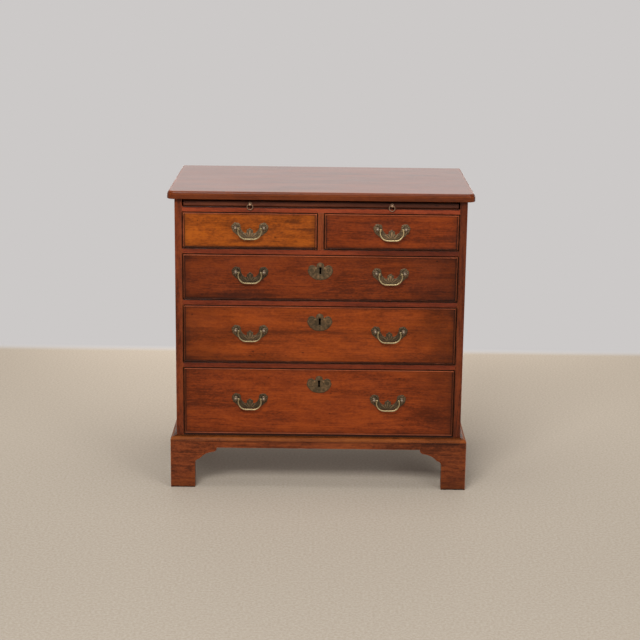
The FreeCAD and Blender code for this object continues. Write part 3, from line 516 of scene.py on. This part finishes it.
def dress_case():
    """Materials of the case, the plinth and the slide."""
    plinth = mahogany(114, 53, 24, 1.4, figure=0.15)
    show = dict(specular=0.18, matt=0.40)
    edges = dict(wear_and_highlight=(0.25, ARRIS), **show)
    foot = dict(shade=plinth_shading, wear_and_highlight=(0.5, ARRIS), **show)
    # Material name, timber, lay, place of the tree's heart, and finish.
    looks = {
        "top_board": ("mahogany_top", mahogany(130, 58, 20, 0.7, streaks=0.2), FLAT, (0.02, 0.72),
                      dict(coat=polished_above, specular=0.22, matt=0.34, uneven=0.02,
                           shade=top_shade, wear_and_highlight=(0.35, ARRIS))),
        "drawer_rails": ("mahogany_rails", mahogany(112, 45, 23, 0.9, streaks=0.4), FRONT,
                         (0.4, -0.4), dict(shade=rail_shade, **edges)),
        "drawer_divider": ("mahogany_divider", mahogany(114, 52, 23, 0.9), POST, (0.03, -0.3),
                           dict(shade=painted_gap_shade, **edges)),
        "plinth_front": ("mahogany_plinth", plinth, FRONT, (0.05, -0.32), foot),
        "plinth_sides": ("mahogany_plinth_sides", plinth, RUNNER, (0.05, 0.5), foot),
        "base_moulding": ("mahogany_moulding", mahogany(108, 54, 20, 1.1), FRONT, (0.0, -0.4),
                          dict(turned=(moulding_side, RUNNER), wear_and_highlight=(0.5, ARRIS), specular=0.08,
                               shade=moulding_shade_and_highlight)),
        "slide_board": ("mahogany_slide", mahogany(86, 40, 21, 0.7), FLAT, (0.1, 0.9),
                        dict(matt=0.6, specular=0.2, shade=slide_shade)),
        "bottom_board": ("mahogany_bottom", mahogany(100, 50, 32, 0.7), FLAT, (0.1, 0.4),
                         dict(matt=0.6, shade=bottom_edge_shade)),
        "back_planks": ("pine_back", PINE, POST, (0.05, 0.33), dict(matt=0.75)),
        "dust_boards": ("pine_dust_boards", PINE, FLAT, (0.1, 0.3), dict(matt=0.75)),
        "drawer_stops": ("oak_stops", OAK, FLAT, (0.1, 0.3), dict(matt=0.7)),
        "plinth_blocks": ("pine_blocks", PINE, POST, (0.1, 0.3), dict(matt=0.75)),
        "rear_brackets": ("pine_brackets", PINE, FRONT, (0.1, 0.3), dict(matt=0.75)),
    }
    for node, (name, timber, lay, pith, finish) in looks.items():
        dress(node, timber_material(name, timber, lay, pith, **finish))
    sides = timber_material("mahogany_sides", mahogany(104, 44, 19, 1.3, figure=0.6, ribbon=0.6),
                            UPRIGHT, (0.0, 0.32), shade=side_shade, **edges)
    dress("side_left", sides)
    dress("side_right", sides)


# Timber of each drawer front, where its tree's heart lies, and what the colours of its two ends
# and of its upright beads are multiplied by.
FRONT_TIMBERS = {
    "short_left_drawer": (mahogany(138, 65, 12, 1.3, figure=0.25, streaks=0.28),
                          (0.70, -0.45), (1.0, 0.95), 1.25),
    "short_right_drawer": (mahogany(116, 46, 13, 1.1, figure=0.4),
                           (0.78, -0.30), (0.85, 1.0), 0.8),
    "upper_drawer": (mahogany(106, 42, 11, 1.1, figure=0.4, streaks=0.4),
                     (0.55, -0.29), (0.80, 0.58), 0.7),
    "middle_drawer": (mahogany(128, 54, 14, 0.9, figure=0.35, streaks=0.3),
                      (0.47, -0.34), (0.64, 0.50), 0.5),
    "lower_drawer": (mahogany(121, 49, 14, 1.1, figure=0.35),
                     (0.20, -0.30), (0.84, 0.60), 0.5),
}


def lining_sides(drawer):
    """1 on the sides of a drawer's box, whose grain runs front to back."""
    centre = middle_of(drawer + "_box", 0)
    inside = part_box(drawer + "_box")[1][0] - centre - LINING

    def mask(g, place):
        return g.math("GREATER_THAN", g.absolute(g.minus(g.split(place)[0], centre)), inside)

    return mask


def upright_beads(drawer):
    """1 on the upright beads of a drawer, between their mitres."""
    low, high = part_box(drawer + "_cockbeads")
    centre = middle_of(drawer + "_cockbeads", 0)

    def mask(g, place):
        x, _, z = g.split(place)
        to_side = g.minus(high[0] - centre, g.absolute(g.minus(x, centre)))
        to_level = g.math("MINIMUM", g.minus(z, low[2]), g.minus(high[2], z))
        return g.math("LESS_THAN", to_side, to_level)

    return mask


def dress_drawers():
    """Materials of the drawer fronts, beads and linings."""
    beads = mahogany(124, 62, 38, 0.8)
    for drawer in DRAWERS:
        timber, pith, ends, uprights = FRONT_TIMBERS[drawer]
        dress(drawer + "_front", timber_material(
            "mahogany_" + drawer, timber, FRONT, pith, specular=0.18, matt=0.38,
            shade=front_glaze_and_shade(drawer, ends)))
        dress(drawer + "_cockbeads", timber_material(
            "mahogany_beads_" + drawer, beads, FRONT, (0.3, -0.4), specular=0.1, matt=0.4,
            shade=bead_shade_and_highlight(drawer, uprights), turned=(upright_beads(drawer), POST),
            wear_and_highlight=(0.5, ARRIS)))
        dress(drawer + "_box", timber_material(
            "oak_" + drawer, OAK, FLAT, (0.1, 0.3), matt=0.7, turned=(lining_sides(drawer), RUNNER)))


def dress(node, material):
    """Gives a node of the model its material."""
    slots = NODES[node].data.materials
    slots.clear()
    slots.append(material)


def soften(node, width):
    """Takes the sharpness off a node's arrises."""
    weld = NODES[node].modifiers.new("weld", "WELD")
    weld.merge_threshold = SAME_POINT
    bevel = NODES[node].modifiers.new("arris", "BEVEL")
    bevel.width = width
    bevel.segments = 2
    bevel.limit_method = "ANGLE"
    bevel.angle_limit = math.radians(40)
    bevel.use_clamp_overlap = False


# ---- brass and steel

def polish_and_light_patches(patches):
    """How bright each piece of brass is beside the others: its polish, and painted light and shade
    that evens out the lamps across the handles.  patches are (x, z, share) triples: the middle of
    a patch round each piece, and the share of brightness in it."""
    half_width, half_height = 60.0 * MM, 40.0 * MM

    def shade(g, place):
        x, _, z = g.split(place)
        parts = []
        for centre_x, centre_z, share in patches:
            beside = g.math("LESS_THAN", g.absolute(g.minus(x, centre_x)), half_width)
            level = g.math("LESS_THAN", g.absolute(g.minus(z, centre_z)), half_height)
            parts.append(g.add(1.0, g.times(beside, level, share - 1.0)))
        return g.times(*parts)

    return shade


def brass_material(name, dull, bright, span, roughness, patina, metals=(0.75, 1.0), soot=None,
                   shade=None):
    """Antiqued brass: dark patina low in the relief, rubbed bright on what stands proud.  span is
    how far forward it turns from dull to bright, and soot is the same for the grime against the
    wood.  patina is how uneven it is, metals how metallic the patina and the rubbed brass are,
    and shade(g, place) what the colour is multiplied by."""
    material, g = new_material(name)
    place = g.object_place()
    forward = g.times(g.split(place)[1], -1.0)
    mottle = g.noise(place, (220.0, 220.0, 220.0), 4.0, 0.65)
    blotch = g.noise(place, (45.0, 45.0, 45.0), 3.0)
    rub = g.add(g.remap(forward, *span), g.about_zero(blotch, patina))
    rub = g.remap(g.add(rub, g.about_zero(mottle, patina)), 0.1, 0.9)
    color = g.mix(rub, dull, bright)
    if soot:
        color = g.scale(color, g.remap(forward, *soot, 0.22, 1.0))
    if shade:
        color = g.scale(color, shade(g, place))
    g.end({"Base Color": color, "Normal": g.bump(mottle, 0.05 * MM),
           "Roughness": g.remap(mottle, 0.3, 0.7, roughness - 0.07, roughness + 0.1),
           "Metallic": g.remap(rub, 0.0, 1.0, *metals)})
    return material


def steel_material(name, keyed):
    """Old dull steel with rusty blotches.  keyed is whether painted shade darkens it round a keyway.
    """
    material, g = new_material(name)
    place = g.object_place()
    blotch = g.noise(place, (120.0, 120.0, 120.0), 4.0, 0.6)
    rust = g.remap(blotch, 0.52, 0.68)
    color = g.mix(rust, paint(128, 124, 118), paint(84, 58, 42))
    if keyed:
        color = g.scale(color, g.times(*(keyway_shade(g, place, drawer) for drawer in LONG_DRAWERS)))
    g.end({"Base Color": color, "Normal": g.bump(blotch, 0.08 * MM),
           "Roughness": g.remap(blotch, 0.3, 0.7, 0.38, 0.62),
           "Metallic": g.remap(rust, 0.0, 1.0, 1.0, 0.35)})
    return material


def keyway_shade(g, place, drawer):
    """Painted shade inside a drawer's lock, seen through its keyhole."""
    x, y, z = g.split(place)
    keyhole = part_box(drawer + "_front")[1][2] - KEYHOLE_DROP
    beside = g.remap(g.absolute(x), 4.0 * MM, 6.0 * MM)
    level = g.remap(g.absolute(g.minus(z, keyhole)), 14.0 * MM, 16.0 * MM)
    deep = g.remap(y, CASE_FRONT + 29.0 * MM, CASE_FRONT + 31.5 * MM)
    return g.larger(beside, level, deep, 0.03)


# ---- shapes of the brasses

# Points and faces of a closed surface, in metres.
Shape = namedtuple("Shape", "points faces")


def joined(shapes):
    points, faces = [], []
    for shape in shapes:
        start = len(points)
        points += shape.points
        faces += [[start + index for index in face] for face in shape.faces]
    return Shape(points, faces)


def moved(shape, matrix):
    """A shape turned, mirrored or moved, its faces still looking outwards."""
    points = [matrix @ Vector(point) for point in shape.points]
    flipped = matrix.to_3x3().determinant() < 0
    return Shape(points, [face[::-1] for face in shape.faces] if flipped else shape.faces)


def at(x, y, z):
    return Matrix.Translation((x, y, z))


ALONG_Y = Vector((0, 1, 0))
MIRROR_X = Matrix.Scale(-1, 4, (1, 0, 0))
Y_TO_X = Matrix.Rotation(math.radians(-90), 4, "Z")


def skin(rows):
    """A closed surface over rows of points.  Each row is a ring or a single point, and rings at
    the ends are filled."""
    sides = max(len(row) for row in rows)
    points, numbers, faces = [], [], []
    for row in rows:
        numbers.append(range(len(points), len(points) + len(row)))
        points += row
    for near, far in zip(numbers, numbers[1:]):
        for index in range(sides):
            after = (index + 1) % sides
            ring = [near[index % len(near)], near[after % len(near)],
                    far[after % len(far)], far[index % len(far)]]
            faces.append(list(dict.fromkeys(ring)))
    faces += [list(end) for end in (numbers[0][::-1], numbers[-1]) if len(end) > 1]
    return Shape(points, faces)


def circle(sides):
    """Angles of the points of a ring."""
    return [2 * math.pi * index / sides for index in range(sides)]


def lathe(profile, sides=32):
    """A closed shape turned about Y.  profile is (radius, y) pairs in millimetres from one end
    to the other, and starts and ends on the axis."""
    return skin([[Vector((radius * MM * math.cos(angle), y * MM, radius * MM * math.sin(angle)))
                  for angle in (circle(sides) if radius > 0 else [0.0])] for radius, y in profile])


def ball_profile(radius, start, end, steps):
    """Part of a ball's outline for a lathe, between two angles from the axis."""
    angles = [start + (end - start) * index / steps for index in range(steps + 1)]
    return [(radius * math.sin(angle), -radius * math.cos(angle)) for angle in angles]


def bar(path, radii, sides=20):
    """A closed round bar along a path in the XZ plane."""
    rows = []
    for index, (place, radius) in enumerate(zip(path, radii)):
        ahead = path[min(index + 1, len(path) - 1)] - path[max(index - 1, 0)]
        outward = Vector((ahead.z, 0, -ahead.x)).normalized()
        rows.append([place + radius * (math.cos(angle) * outward + math.sin(angle) * ALONG_Y)
                     for angle in circle(sides)])
    return skin(rows)


def new_object(name, data):
    made = bpy.data.objects.new(name, data)
    bpy.context.collection.objects.link(made)
    return made


def make_piece(name, shape, body, replaced, material, sharp=35):
    """A piece of the dressed model that stands for nodes of the solid one.  Faces meet in a sharp
    edge where they turn by more than sharp degrees."""
    mesh = bpy.data.meshes.new(name)
    mesh.from_pydata(shape.points, [], shape.faces)
    tidy = bmesh.new()
    tidy.from_mesh(mesh)
    bmesh.ops.recalc_face_normals(tidy, faces=tidy.faces)
    tidy.to_mesh(mesh)
    tidy.free()
    mesh.shade_smooth()
    mesh.set_sharp_from_angle(angle=math.radians(sharp))
    mesh.materials.append(material)
    piece = new_object(name, mesh)
    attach(piece, body)
    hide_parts(*replaced)


# ---- backplates and escutcheons

def front_loops(node):
    """Outlines of the faces of a node that look forward, as lists of (x, z) points."""
    shell = bmesh.new()
    shell.from_mesh(NODES[node].data)
    bmesh.ops.remove_doubles(shell, verts=shell.verts, dist=SAME_POINT)
    front = {face for face in shell.faces if face.normal.y < -0.99}
    rim = dict.fromkeys(edge for edge in shell.edges
                        if len(front.intersection(edge.link_faces)) == 1)
    loops = []
    while rim:
        edge, _ = rim.popitem()
        start, corner = edge.verts
        loop = [start.co.copy(), corner.co.copy()]
        while corner is not start:
            edge = next(other for other in corner.link_edges if other in rim)
            del rim[edge]
            corner = edge.other_vert(corner)
            loop.append(corner.co.copy())
        loops.append([(point.x, point.z) for point in loop[:-1]])
    shell.free()
    return loops


def refined(loop, step):
    """A loop with points no further apart than step."""
    finer = []
    for start, end in zip(loop, loop[1:] + loop[:1]):
        count = max(1, math.ceil(math.dist(start, end) / step))
        finer += [tuple(a + (b - a) * index / count for a, b in zip(start, end))
                  for index in range(count)]
    return finer


def distance_to(loops, points):
    """How far each point is from the nearest outline."""
    nearest = np.full(len(points), np.inf)
    for loop in loops:
        starts = np.array(loop)
        runs = np.roll(starts, -1, axis=0) - starts
        for start, run in zip(starts, runs):
            along = np.clip((points - start) @ run / (run @ run), 0.0, 1.0)
            nearest = np.minimum(nearest, np.hypot(*(points - start - along[:, None] * run).T))
    return nearest


def inside_of(loops, points):
    """Which points lie on the plate rather than round it or in its holes."""
    inside = np.zeros(len(points), bool)
    for loop in loops:
        for (ax, az), (bx, bz) in zip(loop, loop[1:] + loop[:1]):
            if az != bz:
                beside = ax + (points[:, 1] - az) * (bx - ax) / (bz - az)
                inside ^= ((points[:, 1] < az) != (points[:, 1] < bz)) & (points[:, 0] < beside)
    return inside


def relief_plate(loops, height):
    """A cast plate with pierced holes.  Its back lies at y = 0 and its face stands height(x, z,
    edge) in front, where edge is the distance to the nearest outline, all in millimetres."""
    step = 0.55 * MM
    row_step = step * 0.866       # for triangles with even sides
    loops = [refined(loop, step) for loop in loops]
    outline = [point for loop in loops for point in loop]
    low, high = np.min(outline, axis=0), np.max(outline, axis=0)
    xs, zs = np.meshgrid(np.arange(low[0], high[0], step), np.arange(low[1], high[1], row_step))
    xs = xs + np.where(np.arange(len(xs)) % 2, step / 2, 0.0)[:, None]
    grid = np.column_stack([xs.ravel(), zs.ravel()])
    grid = grid[inside_of(loops, grid)]
    grid = grid[distance_to(loops, grid) > 0.45 * step]
    edges, start = [], 0
    for loop in loops:
        edges += [(start + index, start + (index + 1) % len(loop)) for index in range(len(loop))]
        start += len(loop)
    corners = [Vector(point) for point in outline] + [Vector(point) for point in grid.tolist()]
    flat, _, triangles, _, _, _ = delaunay_2d_cdt(corners, edges, [], 0, 1e-9, False)
    places = np.array([tuple(point) for point in flat])
    triangles = np.array(triangles)
    triangles = triangles[inside_of(loops, places[triangles].mean(axis=1))].tolist()
    rises = height(places[:, 0] / MM, places[:, 1] / MM, distance_to(loops, places) / MM)
    face = [Vector((x, -rise * MM, z)) for (x, z), rise in zip(places, rises)]
    back = [Vector((x, 0, z)) for x, z in places]
    count = len(face)
    sides = {pair for triangle in triangles for pair in zip(triangle, triangle[1:] + triangle[:1])}
    walls = [[b, a, a + count, b + count] for a, b in sides if (b, a) not in sides]
    backs = [[index + count for index in triangle][::-1] for triangle in triangles]
    return Shape(face + back, triangles + backs + walls)


def ridge(distance, width):
    """1 on a line, falling smoothly to 0 at a width away from it."""
    return np.clip(1.0 - (distance / width) ** 2, 0.0, 1.0) ** 2


def step_up(value, low, high):
    """Smooth step from 0 at low to 1 at high."""
    share = np.clip((value - low) / (high - low), 0.0, 1.0)
    return share * share * (3.0 - 2.0 * share)


def band(value, rise_from, rise_to, fall_from, fall_to):
    """1 between two smooth steps, 0 outside them."""
    return step_up(value, rise_from, rise_to) * (1 - step_up(value, fall_from, fall_to))


def waves(angle):
    """Smooth flutes from 0 to 1."""
    return 0.5 + 0.5 * np.cos(angle)


def polar(x, z, centre):
    """Distance from a centre, and angle from straight up."""
    return np.hypot(x - centre[0], z - centre[1]), np.arctan2(x - centre[0], z - centre[1])


def plate_edge(edge, field):
    """Face of a plate with a rounded edge and a bead just inside it."""
    lip = 0.55 + (field - 0.55) * step_up(edge, 0.0, 0.7)
    return lip + 0.10 * ridge(edge - 1.35, 0.95)


def backplate_height(x, z, edge):
    """Relief of a willow backplate about the height of its posts: petals round the posts, a fan
    in the crest and leaves along the arms."""
    x = np.abs(x)
    inside = step_up(edge, 1.7, 2.8)
    reach, turn = polar(x, z, (35.9, 0.5))
    petals = waves(11 * turn) * band(reach, 6.6, 7.8, 12.0, 13.0)
    ray, lean = polar(x, z, (0.0, -31.0))
    fan = band(ray, 5.0, 6.5, 22.5, 24.5) * (1 - step_up(lean, 1.0, 1.15))
    arm, along = polar(x, z, (0.0, 14.0))
    leaves = waves(52 * along + arm / 1.1)
    rest = (1 - fan) * step_up(reach, 13.0, 15.0) * step_up(lean, 0.7, 1.0)
    carving = 0.5 * petals + 0.5 * waves(15 * lean) * fan + 0.35 * leaves * rest
    boss = ridge(ray, 5.0)
    return plate_edge(edge, 0.85) + inside * (0.6 * carving + 0.3 * boss)


def escutcheon_height(x, z, edge):
    """Relief of a willow escutcheon about its middle: a ring in each lobe, curled leaf tips
    beside the keyhole, a few lobes over it and faint flutes round the bowl."""
    x = np.abs(x)
    inside = step_up(edge, 1.2, 2.4)
    reach, _ = polar(x, z, (22.5, 3.6))
    ring = ridge(reach - 7.2, 2.4)
    tip = ridge(np.hypot(x - 12.0, z - 8.6), 3.4)
    ray, lean = polar(x, z, (0.0, 5.0))
    crown = waves(8 * lean) * (1 - step_up(lean, 1.0, 1.2)) * step_up(ray, 9.0, 10.5)
    deep, bowl = polar(x, z, (0.0, 12.0))
    flutes = waves(15 * bowl) * step_up(bowl, 1.9, 2.1) * step_up(deep, 21.0, 23.0)
    flutes = flutes * step_up(reach, 10.0, 12.0)
    carving = np.clip(0.25 + ring * 0.25 + tip * 1.1 + crown * 0.3 + flutes * 0.2, 0, 1)
    return plate_edge(edge, 0.8) + inside * 0.5 * carving


# ---- camera, lights and floor

LENS = 89.156                 # on a 36 mm sensor
CAMERA_PLACE = Vector((0.003236, -4.39355, 1.49178))
CAMERA_AHEAD = Vector((-0.000610775, 0.97158264, -0.23669981))
CAMERA_RIGHT = Vector((0.99993125, 0.0033652, 0.01123295))


def make_camera():
    """The photographer's place, worked out from the edges of the case."""
    data = bpy.data.cameras.new("camera")
    data.lens = LENS
    data.clip_end = 100.0
    camera = new_object("camera", data)
    right = CAMERA_RIGHT.normalized()
    back = -CAMERA_AHEAD.normalized()
    up = back.cross(right).normalized()
    turn = Matrix((right, up, back)).transposed().to_4x4()
    camera.matrix_world = Matrix.Translation(CAMERA_PLACE) @ turn
    bpy.context.scene.camera = camera


def make_lamp(name, place, target, size, power, tint=(1.0, 1.0, 1.0)):
    """A soft rectangular lamp that faces a target."""
    data = bpy.data.lights.new(name, "AREA")
    data.shape = "RECTANGLE"
    data.size, data.size_y = size
    data.energy = power
    data.color = tint
    lamp = new_object(name, data)
    lamp.location = place
    lamp.rotation_mode = "QUATERNION"
    lamp.rotation_quaternion = (Vector(target) - Vector(place)).to_track_quat("-Z", "Y")


def make_world():
    """Pale surroundings, brightest low behind the chest and dimmer in front and overhead."""
    world = bpy.data.worlds.new("studio")
    world.use_nodes = True
    g = Graph(world.node_tree)
    _, y, z = g.split(g.node("TexCoord").outputs["Generated"])
    behind = g.remap(y, -0.3, 0.8, 0.26, 0.64)
    above = g.remap(z, 0.3, 0.9, 0.0, 0.8)
    strength = g.add(g.times(behind, g.minus(1.0, above)), g.times(0.35, above))
    background = g.node("Background", {"Color": (1.0, 0.975, 0.955, 1.0), "Strength": strength})
    g.node("OutputWorld", {0: background.outputs[0]})
    bpy.context.scene.world = world


WALL_LINE = 1.26              # where the floor's pale beige gives way to the paler ground behind
FAR_FLOOR = (4.2, 6.5)        # the same on every side, at this distance
WALL_COLOR = paint(204, 201, 200)


def make_floor():
    """Plain pale floor, beige under the chest and paler behind it, and darkened by painted shade
    towards the front.
    """
    mesh = bpy.data.meshes.new("floor")
    half = ENDLESS / 2
    mesh.from_pydata([(-half, -half, 0), (half, -half, 0), (half, half, 0), (-half, half, 0)], [],
                     [(0, 1, 2, 3)])
    floor = new_object("floor", mesh)
    material, g = new_material("pale_floor")
    place = g.object_place()
    depth = g.split(place)[1]
    mottle = g.remap(g.noise(place, (150.0, 150.0, 150.0), 3.0, 0.7), 0.3, 0.7)
    near = g.mix(mottle, paint(178, 165, 148), paint(194, 183, 168))
    # Painted shade: the floor darker towards the front.
    near = g.scale(near, g.remap(depth, -1.3, 0.9, 0.76, 1.0))
    behind = g.remap(depth, WALL_LINE - 0.05, WALL_LINE + 0.05)
    color = g.mix(behind, near, WALL_COLOR)
    surface = g.node("BsdfPrincipled", {"Base Color": color, "Roughness": 0.8,
                                        "Specular IOR Level": 0.2})
    # The ground behind and far off is an even glow where it is seen or mirrored, and sends the
    # chest no more light than plain ground does.
    glow = g.node("Emission", {"Color": WALL_COLOR, "Strength": 1.0})
    ray = g.node("LightPath").outputs
    seen = g.larger(ray["Is Camera Ray"], ray["Is Glossy Ray"], ray["Is Transmission Ray"])
    ground = g.larger(behind, g.remap(g.length(place), *FAR_FLOOR))
    shown = g.node("MixShader", {0: g.times(seen, ground), 1: surface.outputs[0], 2: glow.outputs[0]})
    g.node("OutputMaterial", {0: shown.outputs[0]})
    mesh.materials.append(material)


def make_studio():
    """Camera, surroundings, floor and lamps."""
    bpy.context.scene.view_settings.view_transform = "Standard"
    make_camera()
    make_world()
    make_floor()
    make_lamp("key", (-1.0, -3.6, 3.2), (0.0, 0.0, 0.4), (1.8, 1.2), 150.0)
    make_lamp("fill", (2.2, -3.2, 2.0), (0.0, 0.0, 0.4), (1.4, 1.2), 42.0)
    make_lamp("overhead", (0.0, -0.2, 3.2), (0.0, 0.1, 0.0), (2.4, 1.4), 30.0)
    make_lamp("low_back", (0.0, 2.0, 0.5), (0.0, 0.0, 0.0), (2.2, 0.6), 16.0, (1.0, 0.92, 0.84))


# ---- brasses in their places

FACE_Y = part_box("upper_drawer_front")[0][1]
PIVOT_Y = SWING[BAILS[0]][1]
HALF_SPACING = 38.1 * MM      # from the middle of a bail to its posts
PLATE_SHARP = 60              # degrees: the relief of a plate is smoother than its rim
NUT_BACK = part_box("upper_drawer_handle_posts")[1][1]
# How high the middle of each escutcheon is.
KEYPLATES = {drawer: middle_of(drawer + "_escutcheon", 2) for drawer in LONG_DRAWERS}


def plate_of(node, height, x, z):
    """A plate with relief in the outline of a node, about the point (x, z)."""
    loops = [[(a - x, b - z) for a, b in loop] for loop in front_loops(node)]
    return relief_plate(loops, height)


def handle_post():
    """The post on the left of a bail, about the point that the bail swings on: a ball head
    bored for the pin, a turned neck, and a screw with its square nut."""
    head_radius, ball_radius, pin_hole, socket_depth = 6.0, 5.75, 1.7, 5.0
    mouth = math.asin(pin_hole / head_radius)
    bore = head_radius * math.cos(mouth) - socket_depth
    ball = ball_profile(ball_radius, mouth, math.pi - 0.001, 22)
    head = [(0.0, -bore), (pin_hole, -bore)] + ball[:-1] + [(0.0, ball_radius)]
    button = [(0.0, -6.0), (1.3, -5.95), (2.1, -5.75), (2.45, -5.35), (2.5, -4.6), (0.0, -4.6)]
    neck = [(0.0, 3.0), (4.3, 3.8), (4.4, 4.8), (3.7, 5.5), (3.2, 6.6), (3.15, 7.8), (3.6, 8.9),
            (4.4, 9.4), (4.5, 10.0), (5.1, 10.4), (5.2, 11.0)]
    collar_foot = (FACE_Y - PIVOT_Y) / MM - 1.2
    screw_end = (NUT_BACK - PIVOT_Y) / MM
    shank = [(5.2, collar_foot), (2.4, collar_foot), (2.4, screw_end - 0.6), (1.8, screw_end),
             (0.0, screw_end)]
    return joined([moved(lathe(head, 40), Y_TO_X.inverted()), lathe(button), lathe(neck + shank),
                   square_nut(screw_end)])


def square_nut(back):
    """A hand-filed square nut whose back edges are chamfered, just short of the screw's end."""
    corners = ((-1, -1), (1, -1), (1, 1), (-1, 1))
    return skin([[Vector((x * half * MM, (back + y) * MM, z * half * MM)) for x, z in corners]
                 for half, y in ((4.5, -3.15), (4.5, -1.05), (3.6, -0.15))])


def swan_bail():
    """A bail about the point halfway along its pivots: thin at the ears, stout along the
    bottom, its arms bowed out a little, with a pin out of a small ball at each end."""
    half_span, swell, corner, drop = 29.4 * MM, 1.7 * MM, 21.0 * MM, 29.6 * MM
    fall = drop - corner
    arm = (swell ** 2 + fall ** 2) / (2 * swell)
    arm_centre = Vector((half_span + swell - arm, 0, -fall))
    bend_centre = Vector((half_span + swell - corner, 0, -fall))
    sweep = math.asin(fall / arm)
    side = [arm_centre + arm * turned_down(-sweep * (1 - share / 6)) for share in range(7)]
    side += [bend_centre + corner * turned_down(math.pi / 2 * share / 20) for share in range(1, 21)]
    path = side + [Vector((side[-1].x * share / 5, 0, -drop)) for share in (4, 3, 2, 1, 0)]
    path += [Vector((-point.x, 0, point.z)) for point in path[-2::-1]]
    lengths = np.cumsum([0.0] + [(b - a).length for a, b in zip(path, path[1:])])
    shares = np.abs(lengths / lengths[-1] - 0.5) * 2
    radii = (1.6 + 0.6 * (1 - step_up(shares, 0.15, 0.8)) + 0.3 * ridge(shares - 0.94, 0.03)) * MM
    ear = ball_profile(2.2, 0.0, math.pi - math.asin(1.45 / 2.2), 14)
    pin = moved(lathe(ear + [(1.45, 6.4), (0.9, 7.0), (0.0, 7.0)], 24), Y_TO_X)
    end = at(half_span, 0, 0)
    return joined([bar(path, radii.tolist()), moved(pin, end), moved(pin, MIRROR_X @ end)])


def turned_down(angle):
    """The way to the right, turned down by an angle."""
    return Vector((math.cos(angle), 0, -math.sin(angle)))


def dress_handles(brass):
    """Backplates, posts, bails and escutcheons of every drawer."""
    x, _, z = SWING["short_left_drawer_bail"]
    plate = plate_of("short_left_drawer_handle_plates", backplate_height, x, z)
    keyplate = plate_of("upper_drawer_escutcheon", escutcheon_height, 0.0, KEYPLATES["upper_drawer"])
    post, bail_bar = handle_post(), swan_bail()
    for drawer in DRAWERS:
        places = [SWING[bail] for bail in BAILS if drawer_of(bail) == drawer]
        plates = [moved(plate, at(x, FACE_Y, z)) for x, _, z in places]
        make_piece(drawer + "_backplates", joined(plates), drawer, [drawer + "_handle_plates"],
                   brass["plate"], PLATE_SHARP)
        posts = []
        for x, y, z in places:
            posts.append(moved(post, at(x - HALF_SPACING, y, z)))
            posts.append(moved(post, at(x + HALF_SPACING, y, z) @ MIRROR_X))
        make_piece(drawer + "_turned_posts", joined(posts), drawer, [drawer + "_handle_posts"],
                   brass["post"])
    for bail in BAILS:
        make_piece(bail + "_bar", moved(bail_bar, at(*SWING[bail])), bail, [bail],
                   brass["bail"])
    for drawer, z in KEYPLATES.items():
        make_piece(drawer + "_keyplate", moved(keyplate, at(0.0, FACE_Y, z)), drawer,
                   [drawer + "_escutcheon"], brass["key"], PLATE_SHARP)


# How bright the backplate and the bail of each handle are, and each escutcheon: their polish,
# and painted light and shade that evens out the lamps across them.
HANDLE_POLISH_AND_LIGHT = {
    "short_left_drawer_bail": (1.5, 0.8),
    "short_right_drawer_bail": (1.4, 1.2),
    "upper_drawer_bail_left": (0.72, 0.8),
    "upper_drawer_bail_right": (1.25, 1.0),
    "middle_drawer_bail_left": (1.2, 0.7),
    "middle_drawer_bail_right": (0.9, 0.9),
    "lower_drawer_bail_left": (0.95, 0.9),
    "lower_drawer_bail_right": (1.1, 1.0),
}
KEYPLATE_POLISH_AND_LIGHT = {"upper_drawer": 0.95, "middle_drawer": 0.8, "lower_drawer": 1.0}


def in_front(near, far):
    """Two distances in front of the drawer fronts, in millimetres, as metres along -Y."""
    return -FACE_Y + near * MM, -FACE_Y + far * MM


def make_brasses():
    """Brass of the backplates, escutcheons, bails, posts and slide pulls."""
    # polish is each piece's share of brightness: its polish, and painted light and shade.
    handles = [(SWING[bail][0], SWING[bail][2], polish) for bail, polish in HANDLE_POLISH_AND_LIGHT.items()]
    plates = [(x, z, polish[0]) for x, z, polish in handles]
    bails = [(x, z, polish[1]) for x, z, polish in handles]
    keyplates = [(0.0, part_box(drawer + "_escutcheon")[0][2], share)
                 for drawer, share in KEYPLATE_POLISH_AND_LIGHT.items()]
    soot = in_front(0.2, 0.72)
    return {
        "plate": brass_material("brass_plate", paint(74, 62, 45), paint(152, 122, 90),
                                in_front(0.7, 1.5), 0.45, 0.7, soot=soot, shade=polish_and_light_patches(plates)),
        "key": brass_material("brass_keyplate", paint(77, 64, 45), paint(149, 118, 86),
                              in_front(0.6, 1.5), 0.48, 0.9, soot=soot, shade=polish_and_light_patches(keyplates)),
        "bail": brass_material("brass_bail", paint(150, 130, 96), paint(168, 148, 108),
                               in_front(11.0, 14.5), 0.42, 0.3, metals=(0.45, 0.65),
                               shade=polish_and_light_patches(bails)),
        "post": brass_material("brass_posts", paint(112, 94, 74), paint(134, 118, 100),
                               in_front(6.0, 18.5), 0.52, 0.5),
        "pull": brass_material("brass_pulls", paint(128, 100, 78), paint(168, 136, 110),
                               in_front(1.0, 14.5), 0.45, 0.6, metals=(0.5, 0.8)),
    }


def dress_metal():
    """Finer brasses over the solid ones, and materials of the slide pulls, locks and bolts."""
    brass = make_brasses()
    lock_steel = steel_material("lock_steel", True)
    bolt_steel = steel_material("bolt_steel", False)
    dress_handles(brass)
    for node in NODES:
        if node.startswith(("slide_ring", "slide_knobs")):
            dress(node, brass["pull"])
        elif node.endswith("_lock_bolt"):
            dress(node, bolt_steel)
        elif node.endswith("_lock"):
            dress(node, lock_steel)


# ---- put together

SOFTENED = ("drawer_rails", "side_left", "side_right", "drawer_divider", "plinth_front",
            "plinth_sides", "drawer_stops", "back_planks", "plinth_blocks", "rear_brackets")


make_studio()
dress_case()
dress_drawers()
for board in SOFTENED:
    soften(board, 0.5 * MM)
dress_metal()
